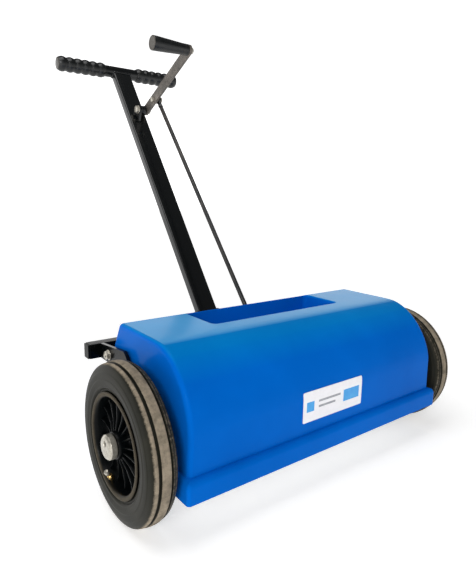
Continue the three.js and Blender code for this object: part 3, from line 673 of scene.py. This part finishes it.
def label():
    """(mesh, inks): a printed label on the curved front, two blue blocks with grey bars between."""
    low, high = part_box("label_plate")
    half, foot, height = high.x / MM, low.z / MM, (high.z - low.z) / MM
    corner, chamfer = 2.0, 0.6
    bends = (9, 44)
    columns = sorted({-half, half, *(x for art in LABEL_ART for x in art[:2])})
    rows = sorted({0, chamfer, corner, height - corner, height - chamfer, height, *bends,
                   *(z for art in LABEL_ART for z in art[2:4])})
    rings = []
    for row in rows:
        edge = max(corner - min(row, height - row), 0)
        side = half - corner + math.sqrt(corner ** 2 - edge ** 2)
        across = [max(min(x, side), -side) for x in columns]
        wall = front_wall_y(foot + row)
        rings.append([at(x, wall - 1.0, foot + row) for x in across]
                     + [at(x, wall - 0.35, foot + row) for x in across[::-1]])
    inks = []
    for bottom, top in zip(rows, rows[1:]):
        inks += [ink_at((left + right) / 2, (bottom + top) / 2)
                 for left, right in zip(columns, columns[1:])]
        inks += [0] * (len(columns) + 1)
    return loft("label", rings), inks + [0, 0]


def ink_at(x, z):
    """Number of the ink that covers a place on the label, 0 for its white ground."""
    for left, right, bottom, top, ink in LABEL_ART:
        if left < x < right and bottom < z < top:
            return ink
    return 0


def place_label():
    """Puts the label on the hood and gives its printed blocks their inks."""
    mesh, inks = label()
    piece("front_label", mesh, LABEL_WHITE, "chassis", ["label_plate"])
    mesh.materials.append(LABEL_GREY)
    mesh.materials.append(LABEL_BLUE)
    mesh.polygons.foreach_set("material_index", inks)


place_label()


# ---------------- wheels
TREAD = 127.0


def tyre_profile():
    """(radius, offset, dust) round the tyre's section, outer face first."""
    outer_wall = [
        (79.5, 17.5, 0.2), (82.6, 19, 0.3), (84.2, 20.6, 0.2), (85.4, 19.4, 0),
        (86.4, 19.6, 0), (88.2, 22.6, 0.12), (90.5, 23.3, 0.16), (91.4, 23, 0.05),
        (96, 24, 0.04), (101.4, 24.4, 0.1), (102, 24.1, 0), (108, 24.1, 0.04),
        (112.4, 23.4, 0.06), (113, 23, 0), (116.4, 22, 0.04), (119.4, 20.9, 0.06),
        (121.2, 19.9, 0.1), (121.9, 19.4, 0.2),
    ]
    crown = [
        (123.4, 18, 0.5), (124.6, 16, 0.9), (125.4, 13, 0.95), (125.3, 11.9, 0.5),
        (124.6, 11.5, 0), (122.4, 11.1, 0), (122, 10, 0), (122.2, 8.3, 0),
        (124.9, 7.8, 0), (126, 7.4, 0.5), (126.4, 6.9, 1), (126.9, 4, 1),
        (TREAD, 0, 1),
    ]
    inner_crown = [
        (126.9, -4, 1), (126.4, -6.9, 0.9), (125.8, -7.6, 0.3), (124.6, -7.9, 0),
        (122.2, -8.5, 0), (122.2, -10, 0), (124.2, -10.5, 0), (124.9, -11.2, 0.45),
        (124.4, -13.6, 0.5), (123.9, -14, 0), (123.4, -14.8, 0), (123.6, -15.4, 0.5),
        (122.6, -17.4, 0.5), (121.2, -19.2, 0.35), (119.6, -20.9, 0.1),
    ]
    inner_wall = [(radius, -offset, 0.05) for radius, offset, _ in outer_wall[-5::-1]]
    cavity = [(77.4, -17), (77.4, -11), (103, -16), (118, -9), (118, 9), (103, 16), (77.4, 11),
              (77.4, 17)]
    return outer_wall + crown + inner_crown + inner_wall + [(r, x, 0) for r, x in cavity]


def dusty_lathe(profile, centre, segments, side):
    """A turned body from (radius, offset, dust), with every corner of its profile cut."""
    finer = []
    for here, ahead in zip(profile, profile[1:] + profile[:1]):
        for share in (0.25, 0.75):
            finer.append([(1 - share) * a + share * b for a, b in zip(here, ahead)])
    outline = [point[:2] for point in finer]
    return lathe("turned", outline, centre, segments, side, [point[2] for point in finer])


def rim_profile():
    """(radius, offset, dust) round the dished rim's section."""
    return [
        (13.4, -21, 0), (20.5, -21, 0), (22, -19.5, 0), (24, -7, 0), (66, -5.5, 0.1),
        (70.5, -8, 0.1), (72.5, -19, 0.1), (76, -23.2, 0.3), (79, -24, 0.4), (82.4, -23.6, 0.4),
        (82.6, -22, 0.1), (77, -19.6, 0), (76.6, -10, 0), (73.6, -8, 0), (73.6, 8, 0),
        (76.6, 10, 0), (77, 19.6, 0), (82.6, 22, 0.1), (82.6, 23.2, 0.6), (80.8, 24.2, 0.9),
        (77.4, 24.2, 0.9), (75.6, 22.8, 0.5), (74.6, 21.2, 0), (73.2, 17.4, 0),
        (71.2, 6, 0), (69, 0.4, 0), (66, -1.2, 0), (24, 3.6, 0), (22.4, 5.2, 0),
        (21.4, 21, 0), (20.2, 22.3, 0.1), (13.4, 22.3, 0),
    ]


def rib(angle, side, centre):
    """One thin radial web between the hub and the rim bed."""
    outline = fillet([(19, -3.6), (70.6, -4), (70.6, 12), (60, 10.4), (40, 12), (19, 17)], 1.5, 3)
    half, edge = 1.2, 0.5
    rings = []
    for across, pull in ((-half, 0.6), (edge - half, 0), (half - edge, 0), (half, 0.6)):
        ring = []
        for radius, offset in outline:
            offset = offset - pull if offset > 0 else offset
            ring.append(centre + Vector((
                side * offset * MM,
                (radius * math.cos(angle) - across * math.sin(angle)) * MM,
                (radius * math.sin(angle) + across * math.cos(angle)) * MM,
            )))
        rings.append(ring)
    return loft("rib", rings)


def wheel_rim(side, centre):
    """The dished rim with its ring of radial ribs."""
    barrel = dusty_lathe(rim_profile(), centre, 128, side)
    rib_count = 16
    ribs = [rib(math.tau * (i + 0.5) / rib_count, side, centre) for i in range(rib_count)]
    return joined("rim", barrel, *ribs)


def cap_nut(side, centre):
    """(nut, disc): a round closed nut with an off-centre key hole, and a dark disc on the hole's
    floor that is painted shade.
    """
    inner, outer = (x - abs(centre.x) / MM for x in span_x("axle_nut_right"))
    radius = radius_of("axle_nut_right")
    profile = fillet([(10.5, outer - 4), (10.5, inner), (radius - 1, inner), (radius, inner + 1),
                      (radius, outer - 4.5), (radius - 3.2, outer - 0.8, 4), (0, outer)], 0.9, 5,
                     closed=False)
    body = lathe("nut", [(0, outer - 4), *profile], centre, 64, side)
    up = Vector((0, -0.8 * MM, 7.5 * MM))
    hole = lathe("hole", [(0, outer - 3), (4.1, outer - 3), (4.1, outer - 1), (5.4, outer + 1),
                          (0, outer + 1)], centre + up, 32, side)
    # painted shade: a dark disc laid on the key hole's floor
    shade_disc = round_bar(4, outer - 3.4, outer - 2.4, centre + up, side, 24)
    return combine(body, "DIFFERENCE", hole), shade_disc


def axle_end(side):
    """Axle stub with a chamfered end and a shoulder inside the chassis plate."""
    start, end = span_x("axle_right")
    profile = [(0, start), (13.4, start), (14, start + 0.6), (14, start + 10), (9.9, start + 10.7),
               (9.9, end - 1.6), (8.5, end), (3.2, end), (0, end - 3)]
    return lathe("stub", profile, AXLE, 48, side)


def valve_parts(side, centre):
    """(stem, cap) leaning out of the rim bed, near the bottom of the wheel."""
    turn, lean = math.radians(-70), math.radians(32)
    radial = Vector((0, math.cos(turn), math.sin(turn)))
    start = centre + radial * 73.5 * MM + Vector((side * 15 * MM, 0, 0))
    direction = -radial * math.cos(lean) + Vector((side * math.sin(lean), 0, 0))
    stem = [(0, 0), (4.2, 0), (4.4, 1), (4.4, 7), (3.8, 8), (4.2, 8.8), (4.2, 10.6), (2.9, 11.4),
            (2.9, 14), (3.3, 14.4), (2.9, 14.8), (3.3, 15.2), (2.9, 15.6), (0, 15.6)]
    cap = [(0, 15.9), (3.6, 15.9), (4.0, 16.4), (4.0, 22.4), (3.2, 24.2), (1.4, 24.6), (0, 24.6)]
    return (along(lathe("stem", stem, ORIGIN, 32), start, direction),
            along(lathe("cap", cap, ORIGIN, 32), start, direction))


def make_wheel(label, side):
    """Tyre, rim and valve on the wheel's body; nut, the key hole's dark disc of painted shade and
    axle end on the chassis.
    """
    centre = centre_of(f"tyre_{label}")
    body = f"wheel_{label}"
    tyre = dusty_lathe(tyre_profile(), centre, 160, side)
    piece(f"tyre_skin_{label}", tyre, TYRE, body, [f"tyre_{label}"], 70)
    piece(f"rim_dish_{label}", wheel_rim(side, centre), PLASTIC, body, [f"rim_{label}"], 50)
    stem, cap = valve_parts(side, centre)
    piece(f"valve_stem_{label}", stem, BRASS, body, [f"valve_{label}"])
    piece(f"valve_cap_{label}", cap, ZINC, body)
    nut, shade_disc = cap_nut(side, centre)
    piece(f"hub_nut_{label}", nut, ZINC, "chassis", [f"axle_nut_{label}"])
    # the key hole's dark disc is painted shade
    piece(f"key_hole_shade_disc_{label}", shade_disc, PLASTIC, "chassis")
    piece(f"axle_stub_{label}", axle_end(side), ZINC, "chassis", [f"axle_{label}"])


for label_side, side_sign in SIDES:
    make_wheel(label_side, side_sign)


# ---------------- fasteners
def hexagon_head(centre, start, end, across_flats, side=1):
    """A hexagon head or nut along X whose outer corners are chamfered off."""
    flat = across_flats / 2
    sides = 48
    height = abs(end - start)
    rings = [[], [], []]
    for k in range(sides):
        turn = math.tau * k / sides
        from_flat = (turn + math.pi / 6) % (math.pi / 3) - math.pi / 6
        corner = flat / math.cos(from_flat)
        chamfer = (corner - flat) * 0.6 + 0.25
        section = ((corner, 0), (corner, height - chamfer), (flat * 0.95, height))
        for ring, (radius, offset) in zip(rings, section):
            ring.append(around(centre, start + side * offset, radius, turn))
    return loft("hexagon", rings)


def washer(centre, start, end, radius, bore, rounding=0.4, steps=3):
    """A flat ring along X with rounded edges."""
    low, high = sorted((start, end))
    outline = fillet([(bore, low), (radius, low), (radius, high), (bore, high)], rounding, steps)
    return lathe("washer", outline, centre, 48)


def threaded_end(centre, start, end, radius, side=1):
    """A bolt's shank end with fine thread ridges and a chamfered tip."""
    pitch, depth, chamfer = 1.25, 0.5, 0.9
    profile = [(0, 0), (radius, 0)]
    length = abs(end - start)
    for i in range(int((length - 1.2) / pitch)):
        profile += [(radius - depth, (i + 0.5) * pitch), (radius, (i + 1) * pitch)]
    profile += [(radius - chamfer, length), (0, length)]
    return lathe("thread", profile, centre + Vector((start * MM, 0, 0)), 32, side)


def cheek_bolt(place):
    """Bolt through the column's foot: head, washers, shank, nut and thread end."""
    node = f"handle_bolt_{place}"
    centre = axis_of(node)
    start, end = span_x(node)
    head, across_flats, shank, washer_radius, thickness = 5.5, 15, 5, 9.4, 1.1
    bolt = joined(
        "bolt",
        hexagon_head(centre, start + head, start, across_flats, -1),
        washer(centre, start + head, start + head + thickness, washer_radius, shank),
        round_bar(shank, start + 1, end - 1, centre),
        washer(centre, end - head - thickness, end - head, washer_radius, shank),
        hexagon_head(centre, end - head, end - 1.2, across_flats),
        threaded_end(centre, end - 1.6, end, shank * 0.93),
    )
    piece(f"cheek_bolt_{place}", bolt, ZINC, "chassis", [node])


def hood_fastener(label, side):
    """Bolt through the hood's side, the arm, a washer and its nut."""
    centre = axis_of(f"hood_bolt_{label}")
    start, end = (x * side for x in span_x("hood_bolt_right"))
    nut_start, nut_end = (x * side for x in span_x("hood_nut_right"))
    head_end = start + 6.2 * side
    washer_end = nut_start + 1.6 * side
    bolt = joined(
        "bolt",
        hexagon_head(centre, head_end, start, 13, -side),
        round_bar(4, abs(start) + 2, abs(nut_end), centre, side),
        threaded_end(centre, nut_end, end, 3.9, side),
    )
    piece(f"side_bolt_{label}", bolt, ZINC, "chassis", [f"hood_bolt_{label}"])
    nut = joined(
        "nut",
        washer(centre, nut_start, washer_end, 9.4, 4.1),
        hexagon_head(centre, washer_end, nut_end, 14.4, side),
    )
    piece(f"side_nut_{label}", nut, ZINC, "chassis", [f"hood_nut_{label}"])


for label_side, side_sign in SIDES:
    hood_fastener(label_side, side_sign)
for bolt_place in ("lower", "upper"):
    cheek_bolt(bolt_place)


# ---------------- handle
BAR_RADIUS = 15.0
COLUMN_HALF_X = span_x("handle_column")[1]
COLUMN_HALF_Y = 10.0
COLUMN_WALL = 2.0
COLUMN_FOOT = 186.0
ACROSS = Vector((1, 0, 0))
DEEP = COLUMN_UP.cross(ACROSS)   # the way across the column's narrow side


def column_outline(growth, corner, steps):
    """The column's section, each side moved out by growth."""
    half_x, half_y = COLUMN_HALF_X + growth, COLUMN_HALF_Y + growth
    return rounded_rectangle(-half_x, half_x, -half_y, half_y, corner, steps)


def bar_depth(v):
    """How far under the T-bar's middle its surface is, v millimetres off the column's middle."""
    return math.sqrt(BAR_RADIUS ** 2 - v ** 2)


def column():
    """Rectangular tube whose top is coped round the T-bar; its inside is open at the foot."""
    bottom = T_BAR - COLUMN_UP * ((T_BAR.z - COLUMN_FOOT * MM) / COLUMN_UP.z)
    length = (T_BAR - bottom).length / MM
    outer = column_outline(0, 3.2, 6)
    inner = column_outline(-COLUMN_WALL, 1.4, 6)
    rings = []
    for outline, at_top in ((outer, False), (outer, True), (inner, True), (inner, False)):
        ring = []
        for u, v in outline:
            reach = length - bar_depth(v) if at_top else 0
            ring.append(bottom + (ACROSS * u + DEEP * v + COLUMN_UP * reach) * MM)
        rings.append(ring)
    return loft("column", rings, closed=True)


def weld_bead():
    """The rippled bead that joins the column to the T-bar, following the coped edge."""
    spacing, thickness, ripple, sides = 1.2, 2.3, 0.35, 10
    outline = column_outline(0.4, 3.4, 8)
    dense = []
    for point, ahead in zip(outline, outline[1:] + outline[:1]):
        steps = max(int((ahead - point).length / spacing), 1)
        dense += [point.lerp(ahead, step / steps) for step in range(steps)]
    rings = []
    for i, (point, ahead) in enumerate(zip(dense, dense[1:] + dense[:1])):
        base = T_BAR + (ACROSS * point.x + DEEP * point.y - COLUMN_UP * bar_depth(point.y)) * MM
        run = (ACROSS * (ahead.x - point.x) + DEEP * (ahead.y - point.y)).normalized()
        out = run.cross(COLUMN_UP).normalized()
        size = (thickness + ripple * math.sin(i * 1.9)) * MM
        turns = [math.tau * k / sides for k in range(sides)]
        rings.append([base + (out * math.cos(turn) + COLUMN_UP * math.sin(turn)) * size
                      for turn in turns])
    return loft("bead", rings, closed=True)


def grip(side):
    """Hand grip of round beads with a closed, softly rounded end."""
    start, end = span_x("grip_right")
    peak = radius_of("grip_right")
    bore = BAR_RADIUS + 0.1
    beads, steps, depth = 6, 10, 4.6
    pitch = (end - start - 2) / beads
    profile = [(0, end - 4), (bore, end - 4), (bore, start), (bore + 1, start)]
    for i in range(beads):
        for step in range(1, steps):
            share = step / steps
            swell = math.sin(math.pi * share) ** 0.62
            profile.append((peak - depth + depth * swell, start + (i + share) * pitch))
    profile += [(peak - 3.4, end - 2.2), (peak - 4.2, end - 0.8), (peak - 6.2, end - 0.1), (0, end)]
    dust = [0.5 if offset > end - 1 else 0.0 for _, offset in profile]
    return lathe("grip", profile, T_BAR, 64, side, dust)


def lever_grip():
    """Tapered rubber grip, thicker at its free end, with a shallow dished end face."""
    end, root = span_x("lever_grip")
    big = radius_of("lever_grip")
    points = [(0, end + 0.8), (big - 4.5, end + 0.5, 1), (big - 3, end, 0.8), (big, end + 0.6, 2.6),
              (big - 0.1, end + 12, 20), (big - 1.4, end + 40, 60), (big - 3.4, root - 16, 30),
              (12.7, root - 5, 4), (12.9, root - 0.2, 1.2), (0, root)]
    profile = fillet(points, 0, 6, closed=False)
    dust = [0.75 if offset < end + 1 else 0.0 for _, offset in profile]
    return lathe("lever_grip", profile, axis_of("lever_grip"), 64, 1, dust)


def t_bar():
    """Round tube with softly rounded ends."""
    start, end = span_x("t_bar")
    bore = BAR_RADIUS - 2
    profile = fillet([(bore, start), (BAR_RADIUS, start), (BAR_RADIUS, end), (bore, end)], 0.6, 3)
    return lathe("t_bar", profile, T_BAR, 64)


piece("column_tube", column(), BLACK, "chassis", ["handle_column"])
piece("column_weld", weld_bead(), BLACK, "chassis", crease=80)
piece("t_bar_tube", t_bar(), BLACK, "chassis", ["t_bar"])
for label_side, side_sign in SIDES:
    piece(f"hand_grip_{label_side}", grip(side_sign), GRIP, "chassis", [f"grip_{label_side}"], 60)
piece("lever_hand_grip", lever_grip(), GRIP, "lever", ["lever_grip"], 60)


# ---------------- lever and rod
LEVER_LEFT, LEVER_RIGHT = span_x("lever_arm")
PLAY = 0.3                       # between the lever's faces and what lies against them
ROD_DROP = Vector((0, ROD_TOP.y - ROD_FOOT.y, ROD_TOP.z - ROD_FOOT.z))
ROD_LENGTH = ROD_DROP.length / MM
ROD_BOTTOM = ROD_FOOT + Vector((ROD_X, 0, 0))


def pivot_bolt():
    """The lever's pivot: head and washer on the bracket, washer and nut on the lever."""
    centre = axis_of("pivot_sleeve")
    start, end = span_x("pivot_bolt")
    head_face = -4
    nut_face = LEVER_RIGHT + 2
    return joined(
        "pivot_bolt",
        hexagon_head(centre, head_face, start, 17, -1),
        washer(centre, head_face, head_face + 1.7, 10.4, 5),
        round_bar(5, head_face + 1, end - 1, centre),
        washer(centre, LEVER_RIGHT + PLAY, nut_face, 9, 5),
        hexagon_head(centre, nut_face, end - 2, 15),
        threaded_end(centre, end - 2.2, end, 4.7),
    )


def rod_bolt():
    """Bolt that hangs the rod's eye on the lever, with a spacer between them."""
    start, end = span_x("rod_upper_bolt")
    eye_left, _ = span_x("rod_eye")
    return joined(
        "rod_bolt",
        hexagon_head(ROD_TOP, LEVER_LEFT - PLAY, start, 12.6, -1),
        round_bar(4, start + 1, end - 1, ROD_TOP),
        washer(ROD_TOP, LEVER_RIGHT + PLAY, eye_left + 0.6, 7.4, 4.1),
        hexagon_head(ROD_TOP, end - 6, end - 1, 12.6),
        threaded_end(ROD_TOP, end - 1.2, end, 3.7),
    )


def grip_bolt():
    """Bolt that runs through the lever's grip, with its washer and nut on the lever."""
    centre = axis_of("lever_grip_bolt")
    start, end = span_x("lever_grip_bolt")
    face = LEVER_RIGHT + PLAY
    return joined(
        "grip_bolt",
        washer(centre, face, face + 1.4, 8.2, 4),
        hexagon_head(centre, face + 1.4, end - 2.4, 13),
        threaded_end(centre, end - 2.6, end, 3.8),
        round_bar(4, start, face + 0.5, centre),
    )


def pivot_sleeve():
    """Collar that holds the lever off its bracket."""
    start, end = span_x("pivot_sleeve")
    radius = radius_of("pivot_sleeve") + 2.5
    return washer(axis_of("pivot_sleeve"), start, end, radius, 5.3, 0.7, 4)


def on_rod(mesh):
    """Puts a mesh built along +X from the origin on the rod's centre line, from its lower pin."""
    return along(mesh, ROD_BOTTOM, ROD_DROP.normalized())


def lift_rod():
    """The plain rod, drawn down a little where it screws into the fork."""
    start, end = 36.3, ROD_LENGTH - 25.3
    profile = [(0, start), (4.4, start), (4.6, start + 0.6), (4.6, start + 16), (5, start + 17),
               (5, end - 1), (4.4, end), (0, end)]
    return on_rod(lathe("rod", profile, ORIGIN, 40))


def rod_eye():
    """Rod end: a rounded eye on a turned shank with a lock nut."""
    ring = washer(ROD_BOTTOM + ROD_DROP, -4.4, 4.4, 10, 4.3, 1.3, 4)
    start, end = ROD_LENGTH - 25, ROD_LENGTH - 8
    shank = [(0, start), (4.9, start), (5.3, start + 0.6), (5.3, end - 5), (4.6, end), (0, end)]
    nut = hexagon_head(ORIGIN, start, start + 4.5, 13 * 0.83)
    return joined("rod_eye", ring, on_rod(lathe("stem", shank, ORIGIN, 32)), on_rod(nut))


piece("pivot_bolt_set", pivot_bolt(), ZINC, "chassis", ["pivot_bolt"])
piece("pivot_spacer", pivot_sleeve(), BLACK, "chassis", ["pivot_sleeve"])
piece("rod_bolt_set", rod_bolt(), ZINC, "lever", ["rod_upper_bolt"])
piece("grip_dome_bolt", grip_bolt(), ZINC, "lever", ["lever_grip_bolt"])
piece("lift_rod_bar", lift_rod(), ROD_STEEL, "rod", ["lift_rod"])
piece("rod_end_eye", rod_eye(), BLACK, "rod", ["rod_eye"])


# ---------------- CAD nodes that stay
def keep(node, material, edge=0.5, segments=2):
    """Gives a CAD node its finish and edges eased by so many millimetres."""
    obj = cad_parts[node]
    obj.data.materials.clear()
    obj.data.materials.append(material)
    obj.data.shade_smooth()
    merge = obj.modifiers.new("merge", "WELD")
    merge.merge_threshold = 1e-5
    ease = obj.modifiers.new("ease", "BEVEL")
    ease.width = edge * MM
    ease.segments = segments
    ease.limit_method = "ANGLE"
    ease.angle_limit = math.radians(50)
    shade = obj.modifiers.new("shade", "WEIGHTED_NORMAL")
    shade.keep_sharp = True


def keep_frame_nodes():
    """Finishes every CAD node that has no piece of its own."""
    keep("rear_cross_bar", MATT_BLACK)
    for node in ("stand_leg", "lever_bracket", "drive_crank", "magnet_carrier"):
        keep(node, BLACK)
    keep("lever_arm", LEVER_STEEL, 0.8, 3)
    keep("base_tray", STAINLESS, 0.4)
    keep("stand_foot", GRIP, 1.2, 3)
    for node in ("rod_fork", "rod_lower_pin", "lift_shaft"):
        keep(node, ZINC, 0.4)
    for label, _ in SIDES:
        keep(f"side_arm_{label}", MATT_BLACK, 0.6)
        for part in ("end_plate", "handle_cheek", "lift_arm"):
            keep(f"{part}_{label}", BLACK, 0.6)
        keep(f"cross_bar_cap_{label}", PLASTIC, 0.8, 3)
        keep(f"guide_rod_{label}", STAINLESS, 0.4)
        for part in ("shaft_bush", "hub_bush"):
            keep(f"{part}_{label}", BRASS, 0.3)
    for i in range(1, 5):
        keep(f"magnet_{i}", FERRITE, 0.8)


keep_frame_nodes()


# ---------------- stage
def floor():
    """A wide pale floor with a faint painted texture that lightens away from the machine."""
    size, drop = 9.0, 0.0005
    finish = Finish("floor_paint", IOR=1.45, Specular_IOR_Level=0.2)
    tone = finish.noise(3, 4)
    finish.colour(tone, (0.88, 0.88, 0.88), (0.92, 0.92, 0.92))
    finish.set("Roughness", finish.remap(tone, 0.3, 0.7, 0.7, 0.85))
    reach = finish.node("ShaderNodeVectorMath", {"Vector": finish.place}, operation="LENGTH")
    finish.shader.inputs["Emission Color"].default_value = (1, 1, 1, 1)
    finish.set("Emission Strength", finish.remap(reach.outputs["Value"], 0.5, 2.6, 0.45, 0.88))
    corners = ((-size, -size), (size, -size), (size, size), (-size, size))
    mesh = bpy.data.meshes.new("floor")
    mesh.from_pydata([(x, y, -drop) for x, y in corners], [], [(0, 1, 2, 3)])
    mesh.materials.append(finish.material)
    placed("floor", mesh)


def soft_light(name, place, target, size, power):
    """A rectangular softbox at place that looks at target."""
    lamp = bpy.data.lights.new(name, "AREA")
    lamp.shape = "RECTANGLE"
    lamp.size, lamp.size_y = size
    lamp.energy = power
    obj = placed(name, lamp)
    obj.location = place
    obj.rotation_euler = (Vector(target) - Vector(place)).to_track_quat("-Z", "Y").to_euler()


def studio():
    """A white backdrop that lights the machine mostly from low behind it, and two softboxes."""
    world = bpy.data.worlds.new("studio")
    world.use_nodes = True
    sky = Graph(world.node_tree)
    axes = sky.node("ShaderNodeSeparateXYZ", {
        0: sky.node("ShaderNodeTexCoord").outputs["Generated"]}).outputs
    behind = sky.remap(axes["Y"], -0.1, 0.45)
    low = sky.remap(axes["Z"], 0.2, 0.5, 1.0, 0.0)
    haze = sky.remap(axes["Z"], 0.0, 0.45, 0.62, 0.12, "SMOOTHSTEP")
    level = sky.math("ADD", sky.math("MULTIPLY", behind, low), haze)
    white = sky.math("MAXIMUM", level, 1.1)
    seen = sky.node("ShaderNodeLightPath").outputs["Is Camera Ray"]
    backdrop = sky.node("ShaderNodeMix", {0: seen, 2: level, 3: white}, data_type="FLOAT")
    background = sky.tree.nodes["Background"]
    background.inputs["Color"].default_value = (1, 1, 1, 1)
    sky.tree.links.new(backdrop.outputs[0], background.inputs["Strength"])
    bpy.context.scene.world = world

    middle = (0, AXLE.y, 0.2)
    soft_light("overhead", (-0.7, -0.2, 2.8), middle, (1.9, 2.4), 36)
    soft_light("front_left", (-2.6, -2.4, 1.7), middle, (1.1, 1.0), 50)
    bpy.context.scene.view_settings.view_transform = "Standard"


def camera():
    """The photograph's viewpoint: in front, to the left and a little above the hood."""
    yaw, pitch, roll = (math.radians(angle) for angle in (37.594, 10.551, 1.125))
    forward = Vector((math.sin(yaw) * math.cos(pitch), math.cos(yaw) * math.cos(pitch),
                      -math.sin(pitch)))
    level = Vector((math.cos(yaw), -math.sin(yaw), 0))
    above = level.cross(forward)
    right = level * math.cos(roll) + above * math.sin(roll)
    up = above * math.cos(roll) - level * math.sin(roll)
    lens = bpy.data.cameras.new("camera")
    lens.lens = 32.13
    obj = placed("camera", lens)
    turn = Matrix((right, up, -forward)).transposed().to_4x4()
    obj.matrix_world = Matrix.Translation(at(-648.9, -674.7, 514.6)) @ turn
    bpy.context.scene.camera = obj


floor()
studio()
camera()
